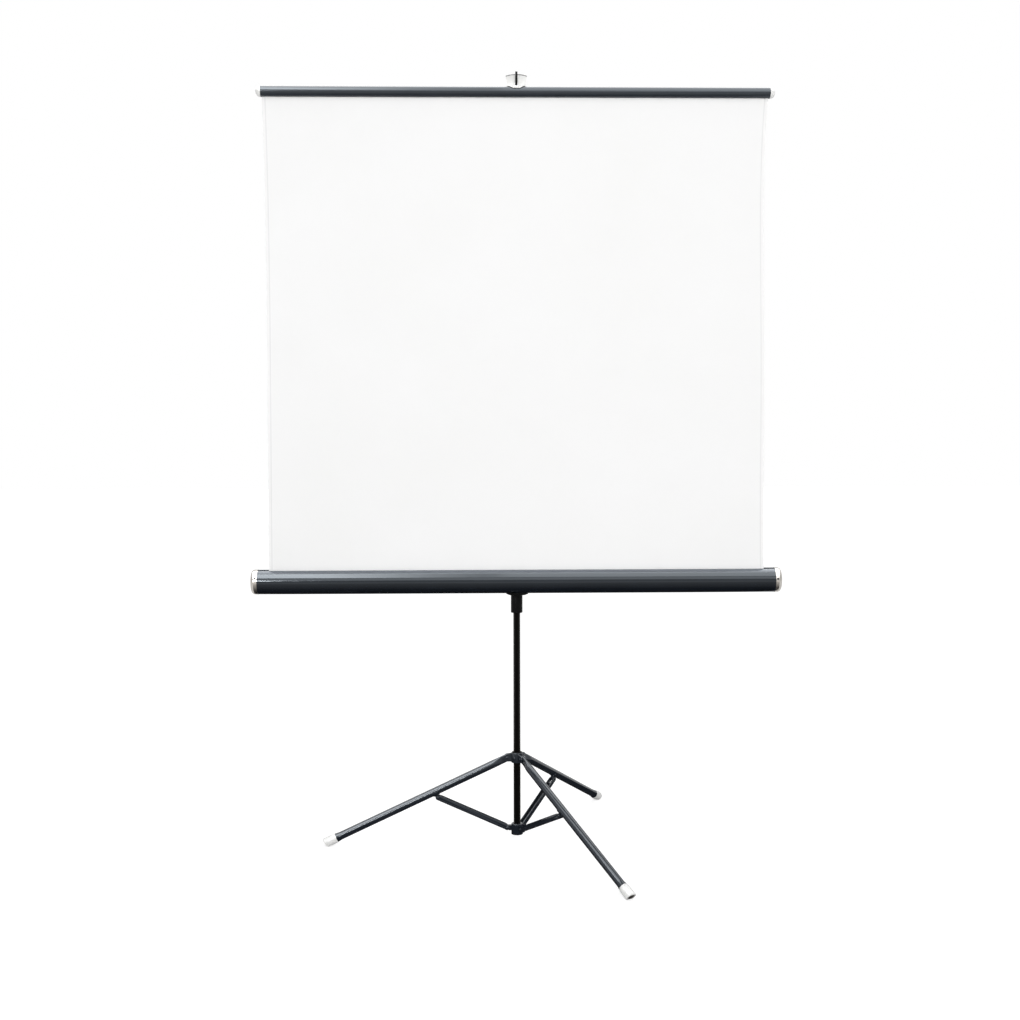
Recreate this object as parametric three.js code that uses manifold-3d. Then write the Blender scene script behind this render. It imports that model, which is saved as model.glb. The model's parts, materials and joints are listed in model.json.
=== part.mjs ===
// Tripod projection screen: a spring roller screen in a round case, on a folding three-leg stand.
// Millimetres, Z up. X runs along the screen, Y points away from the viewer, and the floor is at Z 0.

import * as THREE from "three";
import { mergeVertices } from "three/addons/utils/BufferGeometryUtils.js";
import Module from "manifold-3d";

const wasm = await Module();
wasm.setup();

// Fits shared by all pieces
const FIT = 0.3;
const RUN = 0.5;

// Facets round a full turn, in degrees for the turn itself
const FULL_TURN = 360;
const LARGE_SIDES = 40;
const TUBE_SIDES = 18;
const SMALL_SIDES = 10;
const ARC_STEPS = 6;

// Centre post and the pieces fixed to it
const POST_RADIUS = 11;
const POST_WALL = 1.5;
const POST_LENGTH = 1201;
const POST_RECESS = 6;
const PLUG_LENGTH = 25;
const PLUG_HEAD = 4;
const LOWER_PIVOT_Z = 54;
const LOWER_COLLAR_RADIUS = 18;
const LOWER_COLLAR_BELOW = 21;
const LOWER_COLLAR_ABOVE = 13;
const EAR_WIDTH = 12;
const EAR_HALF_HEIGHT = 8;
const EAR_TIP = 5.5;
const NOTCH_CLEARANCE = 1.2;
const SET_SCREW_RADIUS = 2;
const SET_SCREW_HEAD = 4;
const SET_SCREW_HEAD_HEIGHT = 2.6;
const ROD_CLAMP_RADIUS = 17;
const ROD_CLAMP_GRIP = 45;
const ROD_CLAMP_RISE = 20;
const EDGE_CHAMFER = 2.5;

// Lock knobs and screws
const KNOB_LOBES = 6;
const KNOB_RADIUS = 12;
const KNOB_LOBE_DEPTH = 1.6;
const KNOB_LENGTH = 18;
const KNOB_NECK = 5;
const KNOB_NECK_RADIUS = 6;
const KNOB_SHANK = 3;
const HUB_SCREW_RADIUS = 2;
const HUB_SCREW_HEAD = 4;
const HUB_SCREW_HEAD_HEIGHT = 2.6;
const HUB_SCREW_AZIMUTH = 240;
const HUB_SCREW_DROP = 1;
const REAR_AZIMUTH = 90;

// Leg hub
const HUB_PIVOT_Z = 274;
const HUB_RADIUS = 18;
const HUB_BELOW = 15;
const HUB_ABOVE = 16;
const BUSH_WALL = 1.7;
const BUSH_FLANGE = 2;
const BUSH_FLANGE_WIDTH = 2.4;
const PIVOT_REACH = 12;
const CLEVIS_RADIUS = 11.5;
const CLEVIS_SHOULDER = 75;
const CLEVIS_PLATE = 3;
const RIVET_RADIUS = 2.5;
const RIVET_HEAD_RADIUS = 4.5;
const RIVET_HEAD_HEIGHT = 2;

// Legs, feet and braces
const LEG_SIDES = ["left", "front", "back"];
const FIRST_LEG_AZIMUTH = 180;
const LEG_SPREAD_ANGLE = 120;
const LEG_LENGTH = 612;
const LEG_RADIUS = 12;
const LEG_WALL = 1.2;
const BLADE_THICKNESS = 8;
const BLADE_RADIUS = 11.5;
const BLADE_LENGTH = 14;
const FLARE_LENGTH = 38;
const FERRULE_LENGTH = 20;
const FOOT_FLAT = 2;
const FOOT_WALL = 3;
const FOOT_LENGTH = 34;
const FOOT_END = 7;
const FOOT_TAPER = 1.2;
const FOOT_SWELL = 12;
const FOOT_ROUND = 6;
const FOOT_RAKE = 18;
const SOLE_RADIUS = 12;
const SOLE_SHIFT = 1;
const SOLE_DEPTH = 2.5;
const BRACE_ALONG_LEG = 248;
const BRACE_WIDTH = 16;
const BRACE_DEPTH = 16;
const BRACE_WALL = 1.5;
const BRACE_END_RADIUS = 7;
const BRACE_WEB_SETBACK = 16;
const BRACE_SHOULDER = 10;
const LUG_CLEARANCE = 1.5;
const LUG_WALL = 1.8;
const LUG_HALF_LENGTH = 10;
const LUG_TIP = 5;

// Height collar and case bracket
const CASE_AXIS_Z = 831;
const HEIGHT_COLLAR_RADIUS = 18.3;
const HEIGHT_COLLAR_HEIGHT = 57.5;
const HEIGHT_KNOB_DROP = 32;
const SLEEVE_RADIUS = 16.8;
const SLEEVE_BELOW = 46.5;
const SLEEVE_ABOVE = 15;
const SADDLE_THICKNESS = 6;
const SADDLE_EDGE = 1.8;
const SADDLE_WIDTH = 66;
const SADDLE_TAPER = 11;
const SADDLE_TOP = 24;
const SADDLE_FRONT = 6;
const SADDLE_FUSE = 0.6;
const BRACKET_SCREW_SPREAD = 17;
const BRACKET_SCREW_RADIUS = 2;
const BRACKET_SCREW_HEAD = 4;
const BRACKET_SCREW_HEAD_HEIGHT = 2.4;
const BRACKET_SCREW_ANGLE = -45;

// Case
const CASE_OVERHANG = 33;
const CASE_RADIUS = 37.5;
const CASE_WALL = 1;
const SLOT_OFFSET = 9;
const SLOT_WIDTH = 13;
const SLOT_LIP = 5;
const CAP_LENGTH = 20;
const CAP_WALL = 2.2;
const CAP_OVERLAP = 0.4;
const CAP_ROUND = 11;
const CAP_SCREW_ANGLES = { left: 24, right: 10 };
const CAP_SCREW_REACH = 5.5;
const CAP_SCREW_RADIUS = 1.6;
const CAP_SCREW_HEAD = 3.2;
const CAP_SCREW_HEAD_HEIGHT = 1.8;
const ROLLER_BRACKET_DEPTH = 14;
const ROLLER_BRACKET_WALL = 2;
const ROLLER_BRACKET_PLATE = 2.5;
const ROLLER_BRACKET_SLACK = 0.6;

// Roller and fabric
const FABRIC_WIDTH = 1500;
const FABRIC_THICKNESS = 0.8;
const WOUND_THICKNESS = 1.1;
const ROLLER_RADIUS = 15;
const ROLLER_WALL = 1;
const ROLLER_END_GAP = 6;
const ROLLER_PLUG_LENGTH = 20;
const ROLLER_PLUG_FLANGE = 3;
const ARBOR_RADIUS = 4;
const ARBOR_LENGTH = 270;
const ARBOR_TAIL = 5;
const SPRING_LENGTH = 220;
const SPRING_WALL = 2.5;
const SPRING_GAP = 1;

// Slat, hanger, hook and rod
const SCREEN_DROP = 1460;
const SLAT_RADIUS = 16.5;
const SLAT_WALL = 1.2;
const SLAT_OVERHANG = 7;
const SLAT_SLOT = 5;
const SLAT_LIP = 3;
const SLAT_CAP_LENGTH = 16;
const SLAT_PLUG_DEPTH = 6;
const HEM_ROD_RADIUS = 3;
const HANGER_TOP_WIDTH = 63;
const HANGER_BASE_WIDTH = 54;
const HANGER_HEIGHT = 29;
const HANGER_CROWN = 5;
const HANGER_PLATE = 2;
const HANGER_RIM = 4.4;
const HANGER_RIM_HEIGHT = 2.6;
const HANGER_STRAP_TIP = 20;
const HANGER_STRAP_REACH = 9;
const HANGER_RIVET_ANGLE = 42;
const WINDOW_WIDTH = 12;
const WINDOW_SILL = 1.2;
const HOOK_THICKNESS = 6.5;
const HOOK_ARM_HEIGHT = 7;
const HOOK_ARM_PLAY = 1;
const HOOK_PRONG = 6;
const HOOK_PRONG_GAP = 4;
const HOOK_RISE = 30.5;
const HOOK_TIP = 3;
const HOOK_TIP_TAPER = 8;
const HOOK_HEAD = 3;
const HOOK_TANG = 25;
const ROD_RADIUS = 8;
const ROD_WALL = 1.5;
const ROD_INSERTION = 180;
const SLIDER_LENGTH = 20;
const SLIDER_TANG = 18;

// Places worked out from the sizes above
const pivotRadius = HUB_RADIUS + PIVOT_REACH;
const legAzimuths = LEG_SIDES.map((_, i) => FIRST_LEG_AZIMUTH + i * LEG_SPREAD_ANGLE);
const footBore = LEG_RADIUS + FIT;
const footRadius = footBore + FOOT_WALL;
const footMouthRadius = footRadius - FOOT_TAPER;
const footTip = LEG_LENGTH + FOOT_END;
const footMouth = footTip - FOOT_LENGTH;
const footCrown = footTip + 2 * footRadius * Math.tan(THREE.MathUtils.degToRad(FOOT_RAKE));
const legFromVertical = Math.atan2(footRadius, footTip)
  + Math.acos((HUB_PIVOT_Z + FOOT_FLAT) / Math.hypot(footTip, footRadius));
const legSlope = Math.PI / 2 - legFromVertical;
const lugDrop = LEG_RADIUS + BRACE_END_RADIUS + LUG_CLEARANCE;
const bracePivot = new THREE.Vector3(BRACE_ALONG_LEG, 0, -lugDrop)
  .applyAxisAngle(new THREE.Vector3(0, 1, 0), legSlope)
  .add(new THREE.Vector3(pivotRadius, 0, HUB_PIVOT_Z));
const lowerPivot = new THREE.Vector3(pivotRadius, 0, LOWER_PIVOT_Z);
const braceLength = bracePivot.distanceTo(lowerPivot);
const braceSlope = Math.PI - Math.asin((bracePivot.z - lowerPivot.z) / braceLength);

const lowerCollarBottom = LOWER_PIVOT_Z - LOWER_COLLAR_BELOW;
const postBottom = lowerCollarBottom + POST_RECESS;
const postTop = postBottom + POST_LENGTH;
const postBore = POST_RADIUS - POST_WALL;
const postFit = POST_RADIUS + FIT;
const braceGap = BRACE_WIDTH / 2 - BRACE_WALL;

const caseY = -(SLEEVE_RADIUS + SADDLE_THICKNESS + FIT + CASE_RADIUS - SADDLE_FUSE);
const caseHalf = FABRIC_WIDTH / 2 + CASE_OVERHANG;
const caseBore = CASE_RADIUS - CASE_WALL;
const fabricY = caseY - SLOT_OFFSET;
const woundRadius = ROLLER_RADIUS + FIT + WOUND_THICKNESS;
const rollerY = fabricY + FABRIC_THICKNESS / 2 + FIT + woundRadius;
const rollerHalf = caseHalf - ROLLER_BRACKET_DEPTH - ROLLER_END_GAP;
const sleeveBottom = CASE_AXIS_Z - SLEEVE_BELOW;
const collarTop = sleeveBottom - RUN;

const slatZ = CASE_AXIS_Z + SCREEN_DROP;
const slatHalf = FABRIC_WIDTH / 2 + SLAT_OVERHANG;
const slatBore = SLAT_RADIUS - SLAT_WALL;
const strapInner = SLAT_RADIUS + FIT;
const strapOuter = strapInner + HANGER_PLATE;
const windowBottom = strapOuter + WINDOW_SILL;
const armBottom = windowBottom + HOOK_ARM_PLAY;
const armTop = armBottom + HOOK_ARM_HEIGHT;
const rodTop = slatZ + armBottom - HOOK_HEAD - FIT;
const rodBottom = postTop - ROD_INSERTION;
const rodBore = ROD_RADIUS - ROD_WALL;

// Finishes
const finish = (color, roughness, metalness) =>
  new THREE.MeshStandardMaterial({ color, roughness, metalness });
const greyPaint = finish(0x394149, 0.35, 0.1);
const blackGloss = finish(0x121214, 0.25, 0.1);
const blackPlastic = finish(0x17181a, 0.5, 0);
const chrome = finish(0xd8d8d6, 0.12, 1);
const zincSteel = finish(0xa8aaac, 0.35, 1);
const whitePlastic = finish(0xf2f2ef, 0.4, 0);
const whiteFabric = finish(0xf6f6f5, 0.9, 0);
const bareSteel = finish(0x7d8084, 0.4, 0.9);

// A closed geometry as a solid, with shared corners merged and its faces turned outwards
function solid(geometry) {
  const bare = geometry.clone();
  bare.deleteAttribute("normal");
  bare.deleteAttribute("uv");
  const welded = mergeVertices(bare);
  const points = welded.attributes.position.array;
  const corner = (i) => new THREE.Vector3().fromArray(points, 3 * i);
  const triangles = [];
  let volume = 0;
  for (let i = 0; i < welded.index.count; i += 3) {
    const [a, b, c] = welded.index.array.slice(i, i + 3);
    if (a !== b && b !== c && c !== a) {
      triangles.push([a, b, c]);
      volume += corner(a).dot(corner(b).cross(corner(c)));
    }
  }
  const outward = volume > 0 ? triangles : triangles.map(([a, b, c]) => [a, c, b]);
  const mesh = { numProp: 3, vertProperties: points, triVerts: new Uint32Array(outward.flat()) };
  return new wasm.Manifold(new wasm.Mesh(mesh));
}

// A solid as a named piece with its finish
function piece(name, body, material) {
  const { vertProperties, triVerts } = body.getMesh();
  const geometry = new THREE.BufferGeometry();
  geometry.setAttribute("position", new THREE.BufferAttribute(new Float32Array(vertProperties), 3));
  geometry.setIndex(new THREE.BufferAttribute(new Uint32Array(triVerts), 1));
  geometry.computeVertexNormals();
  const mesh = new THREE.Mesh(geometry, material);
  mesh.name = name;
  return mesh;
}

// Turn a shape made along Z so that it runs along X, along Y, or outwards at an azimuth in degrees
const alongX = (geometry) => geometry.rotateY(Math.PI / 2);
const alongY = (geometry) => geometry.rotateX(-Math.PI / 2);
const degrees = THREE.MathUtils.degToRad;
const outwards = (geometry, azimuth) => alongX(geometry).rotateZ(degrees(azimuth));

// A shape turned about Z from a closed profile of [radius, height] points
function revolve(profile, sides = TUBE_SIDES) {
  const points = [...profile, profile[0]].map(([radius, height]) => new THREE.Vector2(radius, height));
  return new THREE.LatheGeometry(points, sides).rotateX(Math.PI / 2);
}

// A round bar or a tube along Z
const bar = (radius, from, to, sides = TUBE_SIDES) =>
  new THREE.CylinderGeometry(radius, radius, to - from, sides)
    .rotateX(Math.PI / 2)
    .translate(0, 0, (from + to) / 2);
const tube = (outer, inner, from, to, sides = TUBE_SIDES) =>
  revolve([[inner, from], [outer, from], [outer, to], [inner, to]], sides);

// A box between two corners
function block(low, high) {
  const size = high.map((value, i) => value - low[i]);
  const middle = high.map((value, i) => (value + low[i]) / 2);
  return new THREE.BoxGeometry(...size).translate(...middle);
}

// An outline in the X-Z plane made into a plate between two Y values
function plateXZ(shape, from, to) {
  const options = { depth: to - from, bevelEnabled: false, curveSegments: ARC_STEPS };
  return new THREE.ExtrudeGeometry(shape, options).rotateX(Math.PI / 2).translate(0, to, 0);
}

// An outline whose first axis is Y and second is Z, made into a bar between two X values
function barYZ(shape, from, to) {
  const options = { depth: to - from, bevelEnabled: false, curveSegments: ARC_STEPS };
  const toYZ = new THREE.Matrix4().makeBasis(
    new THREE.Vector3(0, 1, 0),
    new THREE.Vector3(0, 0, 1),
    new THREE.Vector3(1, 0, 0),
  );
  return new THREE.ExtrudeGeometry(shape, options).applyMatrix4(toYZ).translate(from, 0, 0);
}

// Points along an arc, as [first, second] pairs
function arc(centre, radius, fromDegrees, toDegrees, steps = ARC_STEPS) {
  return Array.from({ length: steps + 1 }, (_, i) => {
    const angle = degrees(fromDegrees + ((toDegrees - fromDegrees) * i) / steps);
    return [centre[0] + radius * Math.cos(angle), centre[1] + radius * Math.sin(angle)];
  });
}

const outline = (points) => new THREE.Shape(points.map(([x, y]) => new THREE.Vector2(x, y)));

// A headed pin along Y with a domed head at both ends, gripping from -half to +half
function doubleRivet(half) {
  const seat = half + FIT;
  const end = seat + RIVET_HEAD_HEIGHT;
  const crown = RIVET_HEAD_RADIUS * 0.6;
  const top = [[0, end], [crown, end], [RIVET_HEAD_RADIUS, seat + RIVET_HEAD_HEIGHT / 2]];
  const under = [[RIVET_HEAD_RADIUS, seat], [RIVET_RADIUS, seat]];
  const upper = [...top, ...under];
  const lower = upper.map(([radius, height]) => [radius, -height]).reverse();
  return solid(alongY(revolve([...upper, ...lower], SMALL_SIDES)));
}

// A screw along Z: its head from 0 up, its shank down to -depth
function screw(shank, head, headHeight, depth) {
  const profile = [
    [0, -depth], [shank, -depth], [shank, 0], [head, 0],
    [head, headHeight / 2], [head * 0.6, headHeight], [0, headHeight],
  ];
  return revolve(profile, SMALL_SIDES);
}

// A lobed knob along Z on a neck, its shank reaching down to -depth
function knob(radius, length, depth) {
  const steps = KNOB_LOBES * 4;
  const rim = Array.from({ length: steps }, (_, i) => {
    const angle = (2 * Math.PI * i) / steps;
    const reach = radius - KNOB_LOBE_DEPTH * (0.5 - 0.5 * Math.cos(KNOB_LOBES * angle));
    return [reach * Math.cos(angle), reach * Math.sin(angle)];
  });
  const bevel = KNOB_LOBE_DEPTH / 2;
  const options = {
    depth: length - 2 * bevel, bevelEnabled: true, bevelSize: bevel, bevelOffset: -bevel,
    bevelThickness: bevel, bevelSegments: 1,
  };
  const grip = new THREE.ExtrudeGeometry(outline(rim), options).translate(0, 0, KNOB_NECK + bevel);
  const neck = bar(KNOB_NECK_RADIUS, 0, KNOB_NECK + length / 2, SMALL_SIDES);
  const shank = bar(KNOB_SHANK, -depth, KNOB_NECK, SMALL_SIDES);
  return solid(grip).add(solid(neck)).add(solid(shank));
}

// A knob set radially on a round piece, at an azimuth and height
function radialKnob(name, seat, tip, azimuth, height, radius, length) {
  const mesh = piece(name, knob(radius, length, seat - tip), blackPlastic);
  const turn = new THREE.Group();
  mesh.rotation.y = Math.PI / 2;
  mesh.position.x = seat;
  turn.rotation.z = degrees(azimuth);
  turn.position.z = height;
  turn.add(mesh);
  return turn;
}

// A radial hole through a round piece
const radialHole = (radius, reach, azimuth, height) =>
  solid(outwards(bar(radius, 0, reach, SMALL_SIDES), azimuth).translate(0, 0, height));

// Post: the tube, its end plug, the lower collar and the rod clamp
function centrePost() {
  return piece("centre_post", solid(tube(POST_RADIUS, postBore, postBottom, postTop)), blackGloss);
}

function postEndPlug() {
  const seat = postBottom - FIT;
  const plug = postBore - FIT;
  const profile = [
    [0, seat - PLUG_HEAD], [POST_RADIUS, seat - PLUG_HEAD], [POST_RADIUS, seat],
    [plug, seat], [plug, postBottom + PLUG_LENGTH], [0, postBottom + PLUG_LENGTH],
  ];
  return piece("post_end_plug", solid(revolve(profile)), blackPlastic);
}

function lowerCollarEar() {
  const tip = pivotRadius + EAR_TIP;
  const base = LOWER_COLLAR_RADIUS - EAR_TIP / 2;
  const ear = outline([
    [base, -EAR_HALF_HEIGHT], [tip, -EAR_HALF_HEIGHT],
    ...arc([pivotRadius, EAR_HALF_HEIGHT - EAR_TIP], EAR_TIP, 0, 90),
    [base, EAR_HALF_HEIGHT],
  ]);
  const notch = RIVET_RADIUS + NOTCH_CLEARANCE;
  const slot = outline([
    [pivotRadius - notch, -2 * EAR_HALF_HEIGHT], [pivotRadius + notch, -2 * EAR_HALF_HEIGHT],
    ...arc([pivotRadius, 0], notch, 0, 180),
  ]);
  const half = EAR_WIDTH / 2;
  return solid(plateXZ(ear, -half, half)).subtract(solid(plateXZ(slot, -EAR_WIDTH, EAR_WIDTH)));
}

function lowerCollar() {
  const top = LOWER_PIVOT_Z + LOWER_COLLAR_ABOVE;
  const profile = [
    [postFit, lowerCollarBottom], [LOWER_COLLAR_RADIUS - EDGE_CHAMFER, lowerCollarBottom],
    [LOWER_COLLAR_RADIUS, lowerCollarBottom + EDGE_CHAMFER], [LOWER_COLLAR_RADIUS, top], [postFit, top],
  ];
  const ear = lowerCollarEar().translate([0, 0, LOWER_PIVOT_Z]);
  let body = solid(revolve(profile));
  for (const azimuth of legAzimuths) {
    body = body.add(ear.rotate([0, 0, azimuth]));
  }
  body = body.subtract(radialHole(SET_SCREW_RADIUS + FIT, 2 * LOWER_COLLAR_RADIUS, 0, LOWER_PIVOT_Z));
  return piece("lower_collar", body, greyPaint);
}

function lowerCollarScrew() {
  const seat = LOWER_COLLAR_RADIUS + FIT;
  const shape = screw(SET_SCREW_RADIUS, SET_SCREW_HEAD, SET_SCREW_HEAD_HEIGHT, seat - postFit);
  const mesh = piece("lower_collar_screw", solid(alongX(shape)), zincSteel);
  mesh.position.set(seat, 0, LOWER_PIVOT_Z);
  return mesh;
}

function rodClamp() {
  const rodFit = ROD_RADIUS + FIT;
  const bottom = postTop - ROD_CLAMP_GRIP;
  const top = postTop + ROD_CLAMP_RISE;
  const profile = [
    [postFit, bottom], [ROD_CLAMP_RADIUS, bottom], [ROD_CLAMP_RADIUS, top - EDGE_CHAMFER],
    [ROD_CLAMP_RADIUS - EDGE_CHAMFER, top], [rodFit, top], [rodFit, postTop + FIT], [postFit, postTop + FIT],
  ];
  const hole = radialHole(KNOB_SHANK + FIT, 2 * ROD_CLAMP_RADIUS, REAR_AZIMUTH, postTop + ROD_CLAMP_RISE / 2);
  return piece("rod_clamp", solid(revolve(profile)).subtract(hole), blackPlastic);
}

function rodLockKnob() {
  const height = postTop + ROD_CLAMP_RISE / 2;
  const tip = ROD_RADIUS + FIT;
  const seat = ROD_CLAMP_RADIUS + RUN;
  return radialKnob("rod_lock_knob", seat, tip, REAR_AZIMUTH, height, KNOB_RADIUS, KNOB_LENGTH);
}

// Leg hub: a ring on a plastic bush, with a pair of clevis plates for each leg
const hubBore = postFit + BUSH_WALL + FIT;
const clevisGap = BLADE_THICKNESS / 2 + FIT;

function clevisPlate(from) {
  const root = HUB_RADIUS - CLEVIS_PLATE;
  const shape = outline([
    [root, -CLEVIS_RADIUS],
    ...arc([pivotRadius, 0], CLEVIS_RADIUS, -90, CLEVIS_SHOULDER),
    [root, HUB_ABOVE - EDGE_CHAMFER],
  ]);
  const hole = bar(RIVET_RADIUS + FIT, -HUB_RADIUS, HUB_RADIUS, SMALL_SIDES);
  const plate = solid(plateXZ(shape, from, from + CLEVIS_PLATE));
  return plate.subtract(solid(alongY(hole).translate(pivotRadius, 0, 0)));
}

function hubScrewHole() {
  return radialHole(HUB_SCREW_RADIUS + FIT, 2 * HUB_RADIUS, HUB_SCREW_AZIMUTH, -HUB_SCREW_DROP);
}

function legHub() {
  const profile = [
    [hubBore, -HUB_BELOW], [HUB_RADIUS - EDGE_CHAMFER / 2, -HUB_BELOW],
    [HUB_RADIUS, EDGE_CHAMFER - HUB_BELOW],
    [HUB_RADIUS, HUB_ABOVE - EDGE_CHAMFER], [HUB_RADIUS - EDGE_CHAMFER / 2, HUB_ABOVE], [hubBore, HUB_ABOVE],
  ];
  let body = solid(revolve(profile));
  for (const azimuth of legAzimuths) {
    for (const from of [clevisGap, -clevisGap - CLEVIS_PLATE]) {
      body = body.add(clevisPlate(from).rotate([0, 0, azimuth]));
    }
  }
  const mesh = piece("leg_hub", body.subtract(hubScrewHole()), greyPaint);
  mesh.position.z = HUB_PIVOT_Z;
  return mesh;
}

function hubBush() {
  const outer = postFit + BUSH_WALL;
  const flange = HUB_ABOVE + FIT;
  const profile = [
    [postFit, -HUB_BELOW], [outer, -HUB_BELOW], [outer, flange], [outer + BUSH_FLANGE_WIDTH, flange],
    [outer + BUSH_FLANGE_WIDTH, flange + BUSH_FLANGE], [postFit, flange + BUSH_FLANGE],
  ];
  const mesh = piece("hub_bush", solid(revolve(profile)).subtract(hubScrewHole()), blackPlastic);
  mesh.position.z = HUB_PIVOT_Z;
  return mesh;
}

function hubLockScrew() {
  const seat = HUB_RADIUS + FIT;
  const shape = screw(HUB_SCREW_RADIUS, HUB_SCREW_HEAD, HUB_SCREW_HEAD_HEIGHT, seat - postFit);
  const body = solid(outwards(shape.translate(0, 0, seat), HUB_SCREW_AZIMUTH));
  const mesh = piece("hub_lock_screw", body, greyPaint);
  mesh.position.z = HUB_PIVOT_Z - HUB_SCREW_DROP;
  return mesh;
}

function legRivet(side) {
  const mesh = piece(`leg_rivet_${side}`, doubleRivet(clevisGap + CLEVIS_PLATE), greyPaint);
  mesh.position.set(pivotRadius, 0, HUB_PIVOT_Z);
  return mesh;
}

// Leg: a round tube lofted along X, pressed into a flat blade at the hub and swelled at the foot
function loft(sections, sides) {
  const points = [];
  for (const { x, halfY, halfZ, squareness } of sections) {
    for (let i = 0; i < sides; i += 1) {
      const angle = (2 * Math.PI * i) / sides;
      const bulge = (value) => Math.sign(value) * Math.abs(value) ** squareness;
      points.push(x, halfY * bulge(Math.cos(angle)), halfZ * bulge(Math.sin(angle)));
    }
  }
  const triangles = [];
  const last = (sections.length - 1) * sides;
  for (let row = 0; row < last; row += sides) {
    for (let i = 0; i < sides; i += 1) {
      const next = (i + 1) % sides;
      triangles.push(row + i, row + next, row + sides + i, row + next, row + sides + next, row + sides + i);
    }
  }
  for (let i = 1; i < sides - 1; i += 1) {
    triangles.push(0, i + 1, i, last, last + i, last + i + 1);
  }
  const geometry = new THREE.BufferGeometry();
  geometry.setAttribute("position", new THREE.Float32BufferAttribute(points, 3));
  geometry.setIndex(triangles);
  return geometry;
}

function leg(side) {
  const flareSteps = 4;
  const blade = { halfY: BLADE_THICKNESS / 2, halfZ: BLADE_RADIUS, squareness: 0.5 };
  const sections = [{ x: -BLADE_RADIUS, ...blade }];
  for (let i = 0; i <= flareSteps; i += 1) {
    const share = i / flareSteps;
    const ease = share * share * (3 - 2 * share);
    sections.push({
      x: BLADE_LENGTH + FLARE_LENGTH * share,
      halfY: blade.halfY + (LEG_RADIUS - blade.halfY) * ease,
      halfZ: blade.halfZ + (LEG_RADIUS - blade.halfZ) * ease,
      squareness: blade.squareness + (1 - blade.squareness) * ease,
    });
  }
  sections.push({ x: LEG_LENGTH, halfY: LEG_RADIUS, halfZ: LEG_RADIUS, squareness: 1 });
  const bore = alongX(bar(LEG_RADIUS - LEG_WALL, BLADE_LENGTH + FLARE_LENGTH, LEG_LENGTH + LEG_WALL));
  const rounding = outline([
    ...arc([0, 0], BLADE_RADIUS, 90, 270),
    [BLADE_LENGTH, -BLADE_RADIUS], [BLADE_LENGTH, -2 * LEG_RADIUS], [2 * LEG_LENGTH, -2 * LEG_RADIUS],
    [2 * LEG_LENGTH, 2 * LEG_RADIUS], [BLADE_LENGTH, 2 * LEG_RADIUS], [BLADE_LENGTH, BLADE_RADIUS],
  ]);
  const hole = alongY(bar(RIVET_RADIUS + FIT, -LEG_RADIUS, LEG_RADIUS, SMALL_SIDES));
  const core = LEG_RADIUS - LEG_WALL / 2;
  const ferrule = alongX(revolve([
    [core, footMouth - FERRULE_LENGTH], [LEG_RADIUS, footMouth - FERRULE_LENGTH],
    [footMouthRadius - FIT, footMouth - FIT], [core, footMouth - FIT],
  ]));
  const body = solid(loft(sections, TUBE_SIDES))
    .intersect(solid(plateXZ(rounding, -2 * LEG_RADIUS, 2 * LEG_RADIUS)))
    .add(solid(ferrule))
    .subtract(solid(bore))
    .subtract(solid(hole));
  return piece(`leg_${side}`, body, greyPaint);
}

// Lug under the leg: a saddle on the tube with an ear for the brace rivet
function braceLug(side) {
  const strap = alongX(bar(LEG_RADIUS + LUG_WALL, -LUG_HALF_LENGTH, LUG_HALF_LENGTH));
  const lowerHalf = block([-LEG_LENGTH, -2 * LEG_RADIUS, -2 * lugDrop], [LEG_LENGTH, 2 * LEG_RADIUS, 0]);
  const tip = arc([0, -lugDrop], LUG_TIP, FULL_TURN / 2, FULL_TURN);
  const ear = outline([[-LUG_HALF_LENGTH, 0], ...tip, [LUG_HALF_LENGTH, 0]]);
  const hole = alongY(bar(RIVET_RADIUS + FIT, -LEG_RADIUS, LEG_RADIUS, SMALL_SIDES));
  const half = braceGap - RUN;
  const body = solid(strap)
    .intersect(solid(lowerHalf))
    .add(solid(plateXZ(ear, -half, half)))
    .subtract(solid(alongX(bar(footBore, -LEG_LENGTH, LEG_LENGTH))))
    .subtract(solid(hole.translate(0, 0, -lugDrop)));
  const mesh = piece(`brace_lug_${side}`, body, greyPaint);
  mesh.position.x = BRACE_ALONG_LEG;
  return mesh;
}

// Foot: a cup on the leg's end, raked across its tip, with a recess for the sole and a flat for the floor
function beyondRake(depth) {
  const reach = 2 * LEG_LENGTH;
  const rake = degrees(FOOT_RAKE);
  return block([0, -reach, -reach], [reach, reach, reach])
    .translate(-depth, 0, 0)
    .rotateY(rake)
    .translate(footTip, 0, -footRadius);
}

function foot(side, legMatrix) {
  const seat = LEG_LENGTH + FIT;
  const profile = [
    [footBore, footMouth], [footMouthRadius, footMouth], [footRadius, footMouth + FOOT_SWELL],
    ...arc([footRadius - FOOT_ROUND, footCrown - FOOT_ROUND], FOOT_ROUND, 0, 90, ARC_STEPS / 2),
    [0, footCrown], [0, seat], [footBore, seat],
  ];
  const inLeg = (geometry) => solid(geometry.applyMatrix4(legMatrix));
  const recess = alongX(bar(SOLE_RADIUS, seat, 2 * LEG_LENGTH)).translate(0, 0, -SOLE_SHIFT);
  const reach = 2 * LEG_LENGTH;
  const underFloor = block([0, -reach, -reach], [reach, reach, 0]);
  const body = inLeg(alongX(revolve(profile)))
    .subtract(inLeg(beyondRake(0)))
    .subtract(inLeg(recess).intersect(inLeg(beyondRake(SOLE_DEPTH))))
    .subtract(solid(underFloor));
  return piece(`foot_${side}`, body, whitePlastic);
}

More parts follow.
